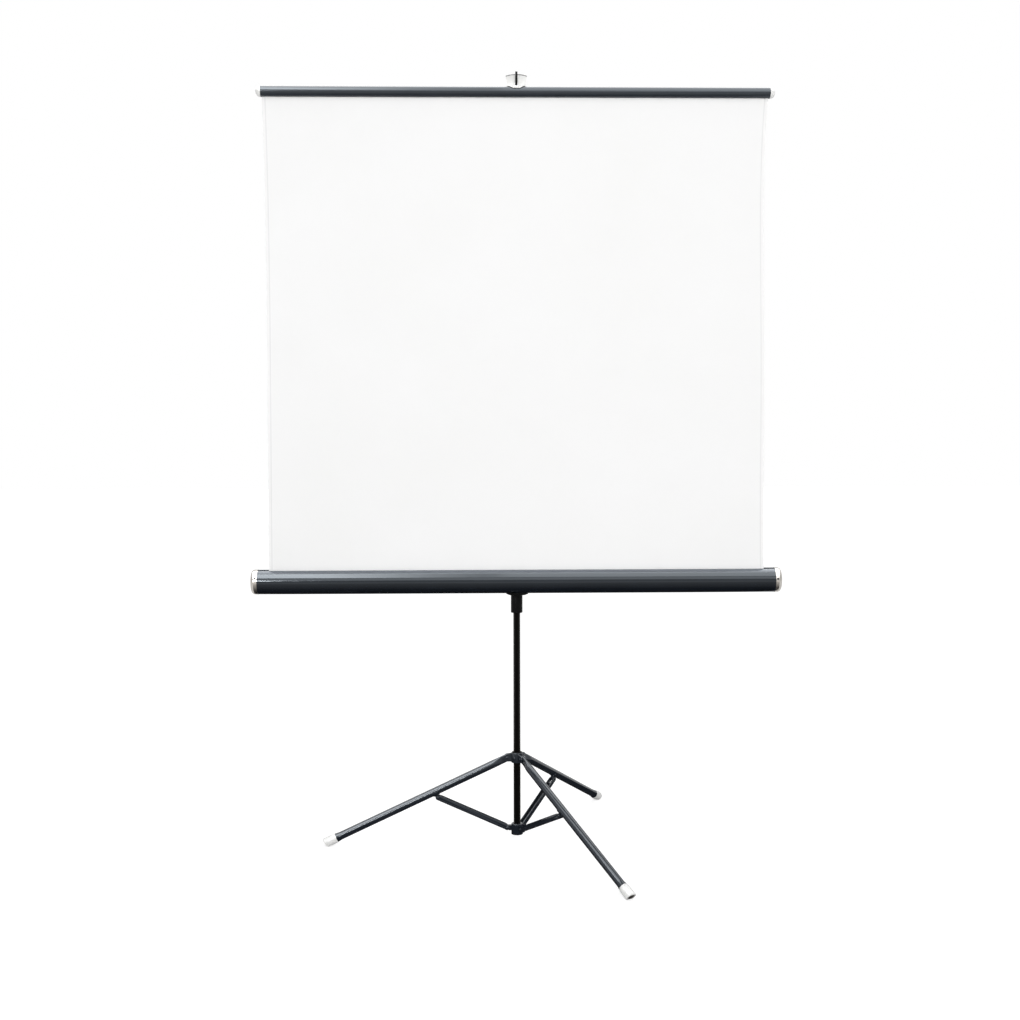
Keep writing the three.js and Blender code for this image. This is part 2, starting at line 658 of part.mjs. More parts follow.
// Brace: a channel strut, open on its upper side, whose two cheeks straddle the lug and the ear
function brace(side) {
  const open = BRACE_END_RADIUS - BRACE_DEPTH;
  const cheek = outline([
    ...arc([0, 0], BRACE_END_RADIUS, 90, 250),
    [BRACE_SHOULDER, open], [braceLength - BRACE_SHOULDER, open],
    ...arc([braceLength, 0], BRACE_END_RADIUS, -70, 90),
  ]);
  const half = BRACE_WIDTH / 2;
  const web = block(
    [BRACE_WEB_SETBACK, -half, BRACE_END_RADIUS - BRACE_WALL],
    [braceLength - BRACE_WEB_SETBACK, half, BRACE_END_RADIUS],
  );
  let body = solid(web);
  for (const from of [braceGap, -half]) {
    body = body.add(solid(plateXZ(cheek, from, from + BRACE_WALL)));
  }
  for (const along of [0, braceLength]) {
    const hole = alongY(bar(RIVET_RADIUS + FIT, -BRACE_WIDTH, BRACE_WIDTH, SMALL_SIDES));
    body = body.subtract(solid(hole.translate(along, 0, 0)));
  }
  return piece(`brace_${side}`, body, greyPaint);
}

function bracePin(name, along) {
  const mesh = piece(name, doubleRivet(BRACE_WIDTH / 2), greyPaint);
  mesh.position.x = along;
  return mesh;
}

// One leg with its foot, lug and brace, in the upright plane through the post
function legAssembly(side, azimuth) {
  const plane = new THREE.Group();
  plane.rotation.z = degrees(azimuth);
  const legFrame = new THREE.Group();
  legFrame.position.set(pivotRadius, 0, HUB_PIVOT_Z);
  legFrame.rotation.y = legSlope;
  legFrame.updateMatrix();
  legFrame.add(leg(side), braceLug(side));
  const braceFrame = new THREE.Group();
  braceFrame.position.copy(bracePivot);
  braceFrame.rotation.y = braceSlope;
  braceFrame.add(brace(side));
  braceFrame.add(bracePin(`brace_rivet_${side}`, 0));
  braceFrame.add(bracePin(`brace_end_pin_${side}`, braceLength));
  plane.add(legRivet(side), legFrame, foot(side, legFrame.matrix), braceFrame);
  return plane;
}

// Height collar on the post and its lock knob
const heightKnobZ = collarTop - HEIGHT_KNOB_DROP;

function heightCollar() {
  const bottom = collarTop - HEIGHT_COLLAR_HEIGHT;
  const profile = [
    [postFit, bottom], [HEIGHT_COLLAR_RADIUS - EDGE_CHAMFER, bottom],
    [HEIGHT_COLLAR_RADIUS, bottom + EDGE_CHAMFER], [HEIGHT_COLLAR_RADIUS, collarTop], [postFit, collarTop],
  ];
  const hole = radialHole(KNOB_SHANK + FIT, 2 * HEIGHT_COLLAR_RADIUS, REAR_AZIMUTH, heightKnobZ);
  return piece("height_collar", solid(revolve(profile)).subtract(hole), blackPlastic);
}

function heightLockKnob() {
  const seat = HEIGHT_COLLAR_RADIUS + RUN;
  return radialKnob("height_lock_knob", seat, postFit, REAR_AZIMUTH, heightKnobZ, KNOB_RADIUS, KNOB_LENGTH);
}

// Case bracket: a sleeve on the post, grown into a saddle that cups the back and underside of the case
const saddleInner = CASE_RADIUS + FIT;
const saddleOuter = saddleInner + SADDLE_THICKNESS;

function caseBracket() {
  const half = SADDLE_WIDTH / 2;
  const flat = half - SADDLE_TAPER;
  const ringProfile = [
    [saddleInner, -half], [saddleInner + SADDLE_EDGE, -half], [saddleOuter, -flat],
    [saddleOuter, flat], [saddleInner + SADDLE_EDGE, half], [saddleInner, half],
  ];
  const ring = alongX(revolve(ringProfile, LARGE_SIDES)).translate(0, caseY, CASE_AXIS_Z);
  const keep = block(
    [-half, caseY - SADDLE_FRONT, CASE_AXIS_Z - 2 * CASE_RADIUS],
    [half, 0, CASE_AXIS_Z + SADDLE_TOP],
  );
  const sleeve = bar(SLEEVE_RADIUS, sleeveBottom, CASE_AXIS_Z + SLEEVE_ABOVE);
  const rib = block([-flat / 2, caseY, sleeveBottom], [flat / 2, 0, CASE_AXIS_Z]);
  const barrel = alongX(bar(saddleInner, -half - 1, half + 1, LARGE_SIDES)).translate(0, caseY, CASE_AXIS_Z);
  let body = solid(ring)
    .intersect(solid(keep))
    .add(solid(sleeve))
    .add(solid(rib))
    .subtract(solid(barrel))
    .subtract(solid(bar(postFit, 0, postTop)));
  for (const x of [-BRACKET_SCREW_SPREAD, BRACKET_SCREW_SPREAD]) {
    body = body.subtract(caseHole(x, BRACKET_SCREW_ANGLE, BRACKET_SCREW_RADIUS));
  }
  return piece("case_bracket", body, blackPlastic);
}

// A hole through the case wall at a place along X, turned up from the rear, and a screw that sits in it
function caseTurned(geometry, x, angle) {
  return alongY(geometry).rotateX(degrees(angle)).translate(x, caseY, CASE_AXIS_Z);
}

const caseHole = (x, angle, radius) =>
  solid(caseTurned(bar(radius + FIT, caseBore - CAP_LENGTH, 2 * CASE_RADIUS, SMALL_SIDES), x, angle));

function bracketScrew(name, x) {
  const seat = saddleOuter + FIT;
  const depth = seat - caseBore + CASE_WALL;
  const shape = screw(
    BRACKET_SCREW_RADIUS, BRACKET_SCREW_HEAD, BRACKET_SCREW_HEAD_HEIGHT, depth,
  ).translate(0, 0, seat);
  return piece(name, solid(caseTurned(shape, x, BRACKET_SCREW_ANGLE)), zincSteel);
}

// A rolled wall in the Y-Z plane with a slot along its top, the slot's edges hemmed inwards
const heightAt = (across, radius) => Math.sqrt(radius * radius - across * across);

function splitRing(outer, wall, slotCentre, slotWidth, lip) {
  const inner = outer - wall;
  const front = slotCentre - slotWidth / 2;
  const rear = slotCentre + slotWidth / 2;
  const angleAt = (across, radius) => THREE.MathUtils.radToDeg(Math.acos(across / radius));
  const frontLip = heightAt(front, outer) - lip;
  const rearLip = heightAt(rear, outer) - lip;
  return outline([
    ...arc([0, 0], outer, angleAt(front, outer), angleAt(rear, outer) + FULL_TURN, LARGE_SIDES),
    [rear, rearLip], [rear + wall, rearLip],
    ...arc([0, 0], inner, angleAt(rear + wall, inner) + FULL_TURN, angleAt(front - wall, inner), LARGE_SIDES),
    [front - wall, frontLip], [front, frontLip],
  ]);
}

// Case: the barrel, its end caps and their screws, and the brackets that carry the roller
function caseShell() {
  const profile = splitRing(CASE_RADIUS, CASE_WALL, -SLOT_OFFSET, SLOT_WIDTH, SLOT_LIP);
  let body = solid(barYZ(profile, -caseHalf, caseHalf).translate(0, caseY, CASE_AXIS_Z));
  for (const x of [-BRACKET_SCREW_SPREAD, BRACKET_SCREW_SPREAD]) {
    body = body.subtract(caseHole(x, BRACKET_SCREW_ANGLE, BRACKET_SCREW_RADIUS));
  }
  return piece("case_shell", body, greyPaint);
}

// The two ends of the screen: the sign of X on each side
const ENDS = { left: -1, right: 1 };
const capRadius = CASE_RADIUS + CAP_OVERLAP;
const capBore = capRadius - CAP_WALL;
const rimOuter = Math.min(caseBore, capBore) - ROLLER_BRACKET_SLACK;
const rimInner = rimOuter - ROLLER_BRACKET_WALL;
const capStraight = CAP_LENGTH - CAP_ROUND;
const rimReach = capStraight - RUN;

// A shape turned about X on the case axis at one end, its heights counted out from the barrel's end
function atCaseEnd(geometry, sign) {
  const turned = alongX(geometry).translate(caseHalf, 0, 0);
  return (sign > 0 ? turned : turned.rotateZ(Math.PI)).translate(0, caseY, CASE_AXIS_Z);
}

const capScrewX = (sign) => sign * (caseHalf + CAP_SCREW_REACH);
const capScrewAngle = (side) => 180 - CAP_SCREW_ANGLES[side];

function caseCap(side, sign) {
  const roundInner = CAP_ROUND - CAP_WALL;
  const profile = [
    [capBore, FIT], [capRadius, FIT],
    ...arc([capRadius - CAP_ROUND, capStraight], CAP_ROUND, 0, 90, ARC_STEPS - 2),
    [0, CAP_LENGTH], [0, CAP_LENGTH - CAP_WALL],
    ...arc([capRadius - CAP_ROUND, capStraight], roundInner, 90, 0, ARC_STEPS / 3),
  ];
  const body = solid(atCaseEnd(revolve(profile, LARGE_SIDES), sign));
  const hole = caseHole(capScrewX(sign), capScrewAngle(side), CAP_SCREW_RADIUS);
  return piece(`case_cap_${side}`, body.subtract(hole), chrome);
}

function capScrew(side, sign) {
  const seat = capRadius + FIT;
  const depth = seat - rimInner;
  const shape = screw(CAP_SCREW_RADIUS, CAP_SCREW_HEAD, CAP_SCREW_HEAD_HEIGHT, depth).translate(0, 0, seat);
  const body = solid(caseTurned(shape, capScrewX(sign), capScrewAngle(side)));
  return piece(`cap_screw_${side}`, body, zincSteel);
}

function rollerBracket(side, sign) {
  const profile = [
    [0, -ROLLER_BRACKET_DEPTH], [rimOuter, -ROLLER_BRACKET_DEPTH], [rimOuter, rimReach],
    [rimInner, rimReach], [rimInner, ROLLER_BRACKET_PLATE - ROLLER_BRACKET_DEPTH],
    [0, ROLLER_BRACKET_PLATE - ROLLER_BRACKET_DEPTH],
  ];
  const shaftHole = alongX(bar(ARBOR_RADIUS + FIT, -FABRIC_WIDTH, FABRIC_WIDTH, SMALL_SIDES));
  const hemSide = CASE_WALL + RUN;
  const front = -SLOT_OFFSET - SLOT_WIDTH / 2;
  const rear = -SLOT_OFFSET + SLOT_WIDTH / 2;
  const hemRelief = block(
    [-caseHalf - RUN, front - hemSide, heightAt(front, CASE_RADIUS) - SLOT_LIP - RUN],
    [caseHalf + RUN, rear + hemSide, 2 * CASE_RADIUS],
  );
  const body = solid(atCaseEnd(revolve(profile), sign))
    .subtract(solid(shaftHole.translate(0, rollerY, CASE_AXIS_Z)))
    .subtract(solid(hemRelief.translate(0, caseY, CASE_AXIS_Z)))
    .subtract(caseHole(capScrewX(sign), capScrewAngle(side), CAP_SCREW_RADIUS));
  return piece(`roller_bracket_${side}`, body, bareSteel);
}

// Roller: a tube turning on a fixed arbor at the left and on a gudgeon at the right, wound up by a spring
const rollerPlace = (mesh) => {
  mesh.position.set(0, rollerY, CASE_AXIS_Z);
  return mesh;
};
const bracketPlateX = caseHalf - ROLLER_BRACKET_DEPTH;

function rollerTube() {
  const shape = tube(ROLLER_RADIUS, ROLLER_RADIUS - ROLLER_WALL, -rollerHalf, rollerHalf);
  return rollerPlace(piece("roller_tube", solid(alongX(shape)), bareSteel));
}

function rollerPlug(side, sign) {
  const plug = ROLLER_RADIUS - ROLLER_WALL - FIT;
  const bore = ARBOR_RADIUS + FIT;
  const seat = rollerHalf + FIT;
  const profile = [
    [bore, rollerHalf - ROLLER_PLUG_LENGTH], [plug, rollerHalf - ROLLER_PLUG_LENGTH], [plug, seat],
    [ROLLER_RADIUS, seat], [ROLLER_RADIUS, seat + ROLLER_PLUG_FLANGE], [bore, seat + ROLLER_PLUG_FLANGE],
  ];
  const shape = alongX(revolve(profile)).rotateZ(sign > 0 ? 0 : Math.PI);
  return rollerPlace(piece(`roller_plug_${side}`, solid(shape), blackPlastic));
}

function springArbor() {
  const outer = bracketPlateX + ARBOR_TAIL;
  const shape = alongX(bar(ARBOR_RADIUS, -outer, ARBOR_LENGTH - outer, SMALL_SIDES));
  return rollerPlace(piece("spring_arbor", solid(shape), bareSteel));
}

function gudgeonPin() {
  const innerEnd = rollerHalf - ROLLER_PLUG_LENGTH;
  const shape = alongX(bar(ARBOR_RADIUS, innerEnd, bracketPlateX + ARBOR_TAIL, SMALL_SIDES));
  return rollerPlace(piece("gudgeon_pin", solid(shape), bareSteel));
}

function torsionSpring() {
  const inner = ARBOR_RADIUS + SPRING_GAP;
  const from = ROLLER_PLUG_LENGTH + SPRING_GAP - rollerHalf;
  const shape = tube(inner + SPRING_WALL, inner, from, from + SPRING_LENGTH);
  return rollerPlace(piece("torsion_spring", solid(alongX(shape)), bareSteel));
}

function woundFabric() {
  const half = FABRIC_WIDTH / 2;
  const shape = tube(woundRadius, ROLLER_RADIUS + FIT, -half, half);
  return rollerPlace(piece("wound_fabric", solid(alongX(shape)), whiteFabric));
}

// Fabric: from the front of the roller, up through the slot and into the slat
const slatLip = heightAt(SLAT_SLOT / 2, SLAT_RADIUS) - SLAT_LIP;
const hemRodDrop = slatLip - HEM_ROD_RADIUS - RUN;

function screenFabric() {
  const half = FABRIC_WIDTH / 2;
  const top = slatZ - hemRodDrop - HEM_ROD_RADIUS - FIT;
  const thin = FABRIC_THICKNESS / 2;
  const sheet = block([-half, fabricY - thin, CASE_AXIS_Z], [half, fabricY + thin, top]);
  return piece("screen_fabric", solid(sheet), whiteFabric);
}

// Slat: a slotted tube that grips the fabric's hem rod, with domed plastic caps
function slatTube() {
  const profile = splitRing(SLAT_RADIUS, SLAT_WALL, 0, SLAT_SLOT, SLAT_LIP);
  const body = solid(barYZ(profile, -slatHalf, slatHalf).rotateX(Math.PI)).subtract(hangerRivetHole());
  return piece("slat_tube", body, greyPaint);
}

function hemRod() {
  const half = FABRIC_WIDTH / 2;
  const mesh = piece("hem_rod", solid(alongX(bar(HEM_ROD_RADIUS, -half, half, SMALL_SIDES))), bareSteel);
  mesh.position.z = -hemRodDrop;
  return mesh;
}

function slatCap(side, sign) {
  const plug = slatLip - FIT;
  const dome = SLAT_CAP_LENGTH - FIT;
  const round = Array.from({ length: ARC_STEPS + 1 }, (_, i) => {
    const angle = (Math.PI / 2) * (i / ARC_STEPS);
    return [SLAT_RADIUS * Math.cos(angle), slatHalf + FIT + dome * Math.sin(angle)];
  });
  round[ARC_STEPS][0] = 0;
  const plugEnd = slatHalf - SLAT_PLUG_DEPTH;
  const profile = [[0, plugEnd], [plug, plugEnd], [plug, slatHalf + FIT], ...round];
  const shape = alongX(revolve(profile)).rotateZ(sign > 0 ? 0 : Math.PI);
  return piece(`slat_cap_${side}`, solid(shape), whitePlastic);
}

// Hanger: a white plate on a strap over the slat, with a rolled rim and a window for the hook
const slatTurned = (geometry, angle) => alongY(geometry).rotateX(degrees(angle));
const hangerRivetTurn = 90 + HANGER_RIVET_ANGLE;

function hangerRivetHole() {
  return solid(slatTurned(bar(RIVET_RADIUS + FIT, 0, 2 * SLAT_RADIUS, SMALL_SIDES), hangerRivetTurn));
}

function hangerTop(drop) {
  const half = HANGER_TOP_WIDTH / 2;
  const corner = strapOuter + HANGER_HEIGHT - drop;
  const radius = (half * half + HANGER_CROWN * HANGER_CROWN) / (2 * HANGER_CROWN);
  const spread = THREE.MathUtils.radToDeg(Math.asin(half / radius));
  return arc([0, corner + HANGER_CROWN - radius], radius, 90 - spread, 90 + spread);
}

function hangerPlate() {
  const foot = HANGER_BASE_WIDTH / 2;
  const base = SLAT_RADIUS;
  const thin = HANGER_PLATE / 2;
  const rim = HANGER_RIM / 2;
  const plate = plateXZ(outline([[-foot, base], [foot, base], ...hangerTop(0)]), -thin, thin);
  const bead = plateXZ(outline([...hangerTop(0), ...hangerTop(HANGER_RIM_HEIGHT).reverse()]), -rim, rim);
  const strap = alongX(tube(strapOuter, strapInner, -foot, foot));
  const tip = HANGER_STRAP_TIP / 2;
  const tongue = outline([
    [-tip, HANGER_STRAP_REACH], [tip, HANGER_STRAP_REACH], [foot, strapOuter], [-foot, strapOuter],
  ]);
  const tongueRoom = plateXZ(tongue, -2 * SLAT_RADIUS, 2 * SLAT_RADIUS);
  const windowHalf = WINDOW_WIDTH / 2;
  const window = block(
    [-windowHalf, -SLAT_RADIUS, windowBottom],
    [windowHalf, SLAT_RADIUS, armTop + FIT],
  );
  const tubeRoom = alongX(bar(strapInner, -slatHalf, slatHalf));
  const body = solid(plate)
    .add(solid(bead))
    .subtract(solid(tubeRoom))
    .add(solid(strap).intersect(solid(tongueRoom)))
    .subtract(solid(window))
    .subtract(hangerRivetHole());
  return piece("hanger_plate", body, whitePlastic);
}

function hangerRivet() {
  const seat = strapOuter + FIT;
  const depth = seat - slatBore;
  const shape = screw(RIVET_RADIUS, RIVET_HEAD_RADIUS, RIVET_HEAD_HEIGHT, depth).translate(0, 0, seat);
  return piece("hanger_rivet", solid(slatTurned(shape, hangerRivetTurn)), zincSteel);
}

// Rod: the tube that telescopes in the post, its slider, and the hook that lifts the hanger
function extensionRod() {
  return piece("extension_rod", solid(tube(ROD_RADIUS, rodBore, rodBottom, rodTop)), zincSteel);
}

function rodSlider() {
  const tang = rodBore - FIT;
  const skirt = postBore - FIT;
  const seat = rodBottom - FIT;
  const profile = [
    [0, seat - SLIDER_LENGTH], [skirt, seat - SLIDER_LENGTH], [skirt, seat],
    [tang, seat], [tang, rodBottom + SLIDER_TANG], [0, rodBottom + SLIDER_TANG],
  ];
  return piece("rod_slider", solid(revolve(profile)), blackPlastic);
}

function hook() {
  const prongRear = fabricY - HANGER_RIM / 2 - HOOK_PRONG_GAP;
  const prongFront = prongRear - HOOK_PRONG;
  const bottom = slatZ + armBottom;
  const top = slatZ + armTop;
  const tip = top + HOOK_RISE;
  const heel = HOOK_PRONG;
  const blade = outline([
    [ROD_RADIUS, bottom - HOOK_HEAD / 2],
    ...arc([prongFront + heel, bottom + heel], heel, 270, 180, 4),
    [prongFront, tip - HOOK_TIP_TAPER], [prongRear - HOOK_TIP, tip], [prongRear, tip],
    [prongRear, top], [ROD_RADIUS, top],
  ]);
  const half = HOOK_THICKNESS / 2;
  const head = bar(ROD_RADIUS, rodTop + FIT, bottom);
  const tang = bar(rodBore - FIT, rodTop - HOOK_TANG, rodTop + HOOK_HEAD);
  const body = solid(barYZ(blade, -half, half)).add(solid(head)).add(solid(tang));
  return piece("hook", body, blackPlastic);
}

// The whole screen
const slat = new THREE.Group();
slat.position.set(0, fabricY, slatZ);
slat.add(slatTube(), hemRod(), hangerPlate(), hangerRivet());

const screen = new THREE.Group();
screen.add(
  centrePost(), postEndPlug(), lowerCollar(), lowerCollarScrew(), rodClamp(), rodLockKnob(),
  legHub(), hubBush(), hubLockScrew(), heightCollar(), heightLockKnob(), caseBracket(),
  bracketScrew("bracket_screw_left", -BRACKET_SCREW_SPREAD),
  bracketScrew("bracket_screw_right", BRACKET_SCREW_SPREAD),
  caseShell(), springArbor(), torsionSpring(), rollerTube(), gudgeonPin(), woundFabric(), screenFabric(),
  extensionRod(), rodSlider(), hook(), slat,
);
LEG_SIDES.forEach((side, i) => screen.add(legAssembly(side, legAzimuths[i])));
for (const [side, sign] of Object.entries(ENDS)) {
  screen.add(caseCap(side, sign), capScrew(side, sign), rollerBracket(side, sign), rollerPlug(side, sign));
  slat.add(slatCap(side, sign));
}

export default screen;
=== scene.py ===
import json
import math

import bmesh
import bpy
import numpy as np
from mathutils import Matrix, Vector


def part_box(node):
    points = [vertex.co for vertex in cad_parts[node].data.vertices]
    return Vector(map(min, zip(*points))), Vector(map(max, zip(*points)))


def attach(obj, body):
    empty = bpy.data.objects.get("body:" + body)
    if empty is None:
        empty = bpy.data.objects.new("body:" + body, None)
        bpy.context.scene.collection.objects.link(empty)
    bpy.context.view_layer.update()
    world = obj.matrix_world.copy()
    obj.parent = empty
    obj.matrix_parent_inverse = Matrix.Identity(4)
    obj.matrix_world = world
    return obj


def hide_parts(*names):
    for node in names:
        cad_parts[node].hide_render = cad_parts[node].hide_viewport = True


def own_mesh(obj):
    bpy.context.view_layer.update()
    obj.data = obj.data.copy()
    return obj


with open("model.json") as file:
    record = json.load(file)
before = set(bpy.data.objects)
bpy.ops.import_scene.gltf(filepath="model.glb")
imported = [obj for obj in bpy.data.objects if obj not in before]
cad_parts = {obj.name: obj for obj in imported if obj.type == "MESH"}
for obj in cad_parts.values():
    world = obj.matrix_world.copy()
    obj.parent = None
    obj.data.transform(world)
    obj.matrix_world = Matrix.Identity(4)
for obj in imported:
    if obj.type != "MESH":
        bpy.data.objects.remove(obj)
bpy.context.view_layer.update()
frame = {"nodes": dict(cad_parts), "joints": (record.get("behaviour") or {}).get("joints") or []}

# Camera. The screen is seen from the front, a little left of its middle and about half way up,
# with the legs spread towards the viewer's left and right.
IMAGE_SIDE = 1020
FOCAL_PIXELS = 1330.6
SENSOR_WIDTH = 36.0
EYE = (-0.1115, -4.0847, 1.2613)
YAW = -0.0224
PITCH = -0.0533
ROLL = -0.0023

scene = bpy.context.scene
lens = bpy.data.cameras.new("front_camera")
lens.sensor_fit = "HORIZONTAL"
lens.sensor_width = SENSOR_WIDTH
lens.lens = SENSOR_WIDTH * FOCAL_PIXELS / IMAGE_SIDE
camera = bpy.data.objects.new("front_camera", lens)
camera.matrix_world = (
    Matrix.Translation(EYE)
    @ Matrix.Rotation(YAW, 4, "Z")
    @ Matrix.Rotation(math.pi / 2 + PITCH, 4, "X")
    @ Matrix.Rotation(ROLL, 4, "Z")
)
scene.collection.objects.link(camera)
scene.camera = camera
scene.view_settings.view_transform = "Standard"

# Centre post. A drawn steel tube in black gloss enamel, whose sheen is a painted highlight along the
# tube's sides, open at its top for the rod, with a push-in plastic plug closing its foot.
POST_WALL = 0.0015
POST_EASE = 0.0004
POST_SHEEN = 0.4
SHEEN_SPREAD = 0.38
SHEEN_TINT = (1, 0.92, 0.88, 1)
PLUG_EASE = 0.0012
FIT = 0.0003
FACETS = 72
SHARP_ANGLE = math.radians(38)
MERGE = 1e-6
EASE_LIMIT = 0.45
UPRIGHT = 0.9
NOISE_LOW, NOISE_HIGH = 0.3, 0.7


def shell(name, *grids, closed=True):
    """A mesh from grids of points: neighbours in rows and columns make four-sided faces. Points that
    meet at seams and poles are merged, and a closed form has its faces turned outwards."""
    points, faces, start = [], [], 0
    for grid in grids:
        rows, columns = grid.shape[:2]
        index = start + np.arange(rows * columns).reshape(rows, columns)
        corners = (index[:-1, :-1], index[:-1, 1:], index[1:, 1:], index[1:, :-1])
        faces.append(np.stack(corners, -1).reshape(-1, 4))
        points.append(grid.reshape(-1, 3))
        start += rows * columns
    mesh = bpy.data.meshes.new(name)
    mesh.from_pydata(np.concatenate(points).tolist(), [], np.concatenate(faces).tolist())
    work = bmesh.new()
    work.from_mesh(mesh)
    bmesh.ops.remove_doubles(work, verts=work.verts, dist=MERGE)
    bmesh.ops.dissolve_degenerate(work, edges=work.edges, dist=MERGE)
    if closed:
        bmesh.ops.recalc_face_normals(work, faces=work.faces)
    work.to_mesh(mesh)
    work.free()
    mesh.shade_smooth()
    mesh.set_sharp_from_angle(angle=SHARP_ANGLE)
    return bpy.data.objects.new(name, mesh)


def eased(corners, cut, loop=False, steps=5):
    """The path through the corners, each one replaced by a quadratic curve that leaves the two
    straight sides at a distance cut from it, or sooner on a side too short for that. A loop is
    closed on its first point."""
    corner = np.array(corners, float)
    if loop:
        before, here, after = np.roll(corner, 1, 0), corner, np.roll(corner, -1, 0)
    else:
        before, here, after = corner[:-2], corner[1:-1], corner[2:]

    def towards(other):
        reach = np.linalg.norm(other - here, axis=1, keepdims=True)
        return here + (other - here) * np.minimum(cut / reach, EASE_LIMIT)

    t = np.linspace(0, 1, steps)[None, :, None]
    curve = (1 - t) ** 2 * towards(before)[:, None] + 2 * t * (1 - t) * here[:, None]
    curve = (curve + t**2 * towards(after)[:, None]).reshape(-1, corner.shape[1])
    ends = (curve, curve[:1]) if loop else (corner[:1], curve, corner[-1:])
    return np.vstack(ends)


def axes(axis):
    """Three unit vectors at right angles: two across the axis, then the axis."""
    along = np.array(axis, float) / np.linalg.norm(axis)
    helper = (1, 0, 0) if abs(along[2]) > UPRIGHT else (0, 0, 1)
    across = np.cross(helper, along)
    across /= np.linalg.norm(across)
    return across, np.cross(along, across), along


def turned(profile, origin=(0, 0, 0), axis=(0, 0, 1), facets=FACETS):
    """A profile of [radius, height] points carried a full turn about an axis: each point is
    origin + height * axis + radius * (cosine * first + sine * second)."""
    first, second, along = axes(axis)
    angle = np.linspace(0, 2 * math.pi, facets + 1)
    ring = np.cos(angle)[:, None] * first + np.sin(angle)[:, None] * second
    path = np.asarray(profile, float)
    return np.asarray(origin) + path[:, None, 1:] * along + path[:, None, :1] * ring


def straight_tube(bore, radius, low, high, ease):
    """A tube's wall round the post's line: a four-cornered section with eased edges, turned."""
    section = [(bore, low.z), (radius, low.z), (radius, high.z), (bore, high.z)]
    return turned(eased(section, ease, loop=True))


def feed(tree, shader, sockets):
    """Give each of a node's sockets its constant, or the output that feeds it."""
    for key, value in sockets.items():
        if isinstance(value, bpy.types.NodeSocket):
            tree.links.new(value, shader.inputs[key])
        else:
            shader.inputs[key].default_value = value


def node(tree, kind, sockets=None, **settings):
    """A new shader node with its settings made and its sockets fed."""
    made = tree.nodes.new("ShaderNode" + kind)
    for key, value in settings.items():
        setattr(made, key, value)
    feed(tree, made, sockets or {})
    return made


def noise(tree, scale, detail=2.0, stretch=(1, 1, 1)):
    """Noise on the object's own coordinates, in features per metre, drawn out along an axis by
    a small stretch value."""
    place = node(tree, "TexCoord").outputs["Object"]
    drawn = node(tree, "Mapping", {"Vector": place, "Scale": stretch})
    sockets = {"Vector": drawn.outputs["Vector"], "Scale": scale, "Detail": detail}
    return node(tree, "TexNoise", sockets).outputs["Fac"]


def shaded(tree, value, dark, light, low=NOISE_LOW, high=NOISE_HIGH):
    """A value turned into a colour that goes from dark at low to light at high."""
    ramp = node(tree, "ValToRGB", {"Fac": value})
    ramp.color_ramp.elements[0].position = low
    ramp.color_ramp.elements[0].color = (*dark, 1)
    ramp.color_ramp.elements[1].position = high
    ramp.color_ramp.elements[1].color = (*light, 1)
    return ramp.outputs["Color"]


def ranged(tree, value, low, high):
    """A noise value spread from low to high."""
    sockets = {
        "Value": value, "From Min": NOISE_LOW, "From Max": NOISE_HIGH, "To Min": low, "To Max": high,
    }
    return node(tree, "MapRange", sockets).outputs["Result"]


def new_finish(name):
    """A material with its tree and its surface shader."""
    material = bpy.data.materials.new(name)
    material.use_nodes = True
    return material, material.node_tree, material.node_tree.nodes["Principled BSDF"]


def bumps(tree, height, strength, distance):
    """The normal of a surface with small bumps, from a height between 0 and 1."""
    sockets = {"Height": height, "Strength": strength, "Distance": distance}
    return node(tree, "Bump", sockets).outputs["Normal"]


def mottled(name, dark, light, rough, constants, tone, gloss, relief, depth, stretch=(1, 1, 1)):
    """A finish with noise in its tone, its gloss and its relief, each given as [features per metre,
    detail]. The relief is drawn as bumps of a [strength, distance]."""
    material, tree, surface = new_finish(name)
    feed(tree, surface, {
        "Base Color": shaded(tree, noise(tree, *tone, stretch), dark, light),
        "Roughness": ranged(tree, noise(tree, *gloss, stretch), *rough),
        "Normal": bumps(tree, noise(tree, *relief, stretch), *depth),
        **constants,
    })
    return material


def gloss_paint(name, dark, light, specular, tint, rough):
    """Sprayed enamel: faint clouds in the colour, a smear in the tinted gloss, and orange peel."""
    return mottled(
        name, dark, light, rough, {"Specular IOR Level": specular, "Specular Tint": (*tint, 1)},
        tone=(14, 4), gloss=(45, 3), relief=(420, 1), depth=(0.002, 0.0006),
    )


def moulding(name, dark, light, specular, rough, grain):
    """Injection-moulded plastic: slight patches in the colour and the gloss, and a fine grain."""
    return mottled(
        name, dark, light, rough, {"Specular IOR Level": specular},
        tone=(60, 5), gloss=(150, 2), relief=(2600, 1), depth=(grain, 0.0003),
    )


def dress(piece, finish, slot, body, *nodes):
    """Put a finished piece in the scene: its material, the body it moves with and what it stands for."""
    scene.collection.objects.link(piece)
    piece.data.materials.append(finish)
    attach(piece, body)
    if nodes:
        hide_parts(*nodes)
    return piece


black_enamel = gloss_paint(
    "black_enamel", (0.0016, 0.0015, 0.0014), (0.0024, 0.0022, 0.002),
    specular=0.9, tint=(0.022, 0.018, 0.016), rough=(0.08, 0.13),
)
# The sheen on the post's enamel is a painted highlight that brightens the tube's sides.
feed(black_enamel.node_tree, black_enamel.node_tree.nodes["Principled BSDF"], {
    "Sheen Weight": POST_SHEEN, "Sheen Roughness": SHEEN_SPREAD, "Sheen Tint": SHEEN_TINT,
})
black_plastic = moulding(
    "black_plastic", (0.0015, 0.0015, 0.0018), (0.003, 0.003, 0.0035),
    specular=0.07, rough=(0.3, 0.44), grain=0.12,
)

post_low, post_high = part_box("centre_post")
post_radius = post_high.x
post_bore = post_radius - POST_WALL
post = shell("post_tube", straight_tube(post_bore, post_radius, post_low, post_high, POST_EASE))
dress(post, black_enamel, "black_gloss", "post_frame", "centre_post")

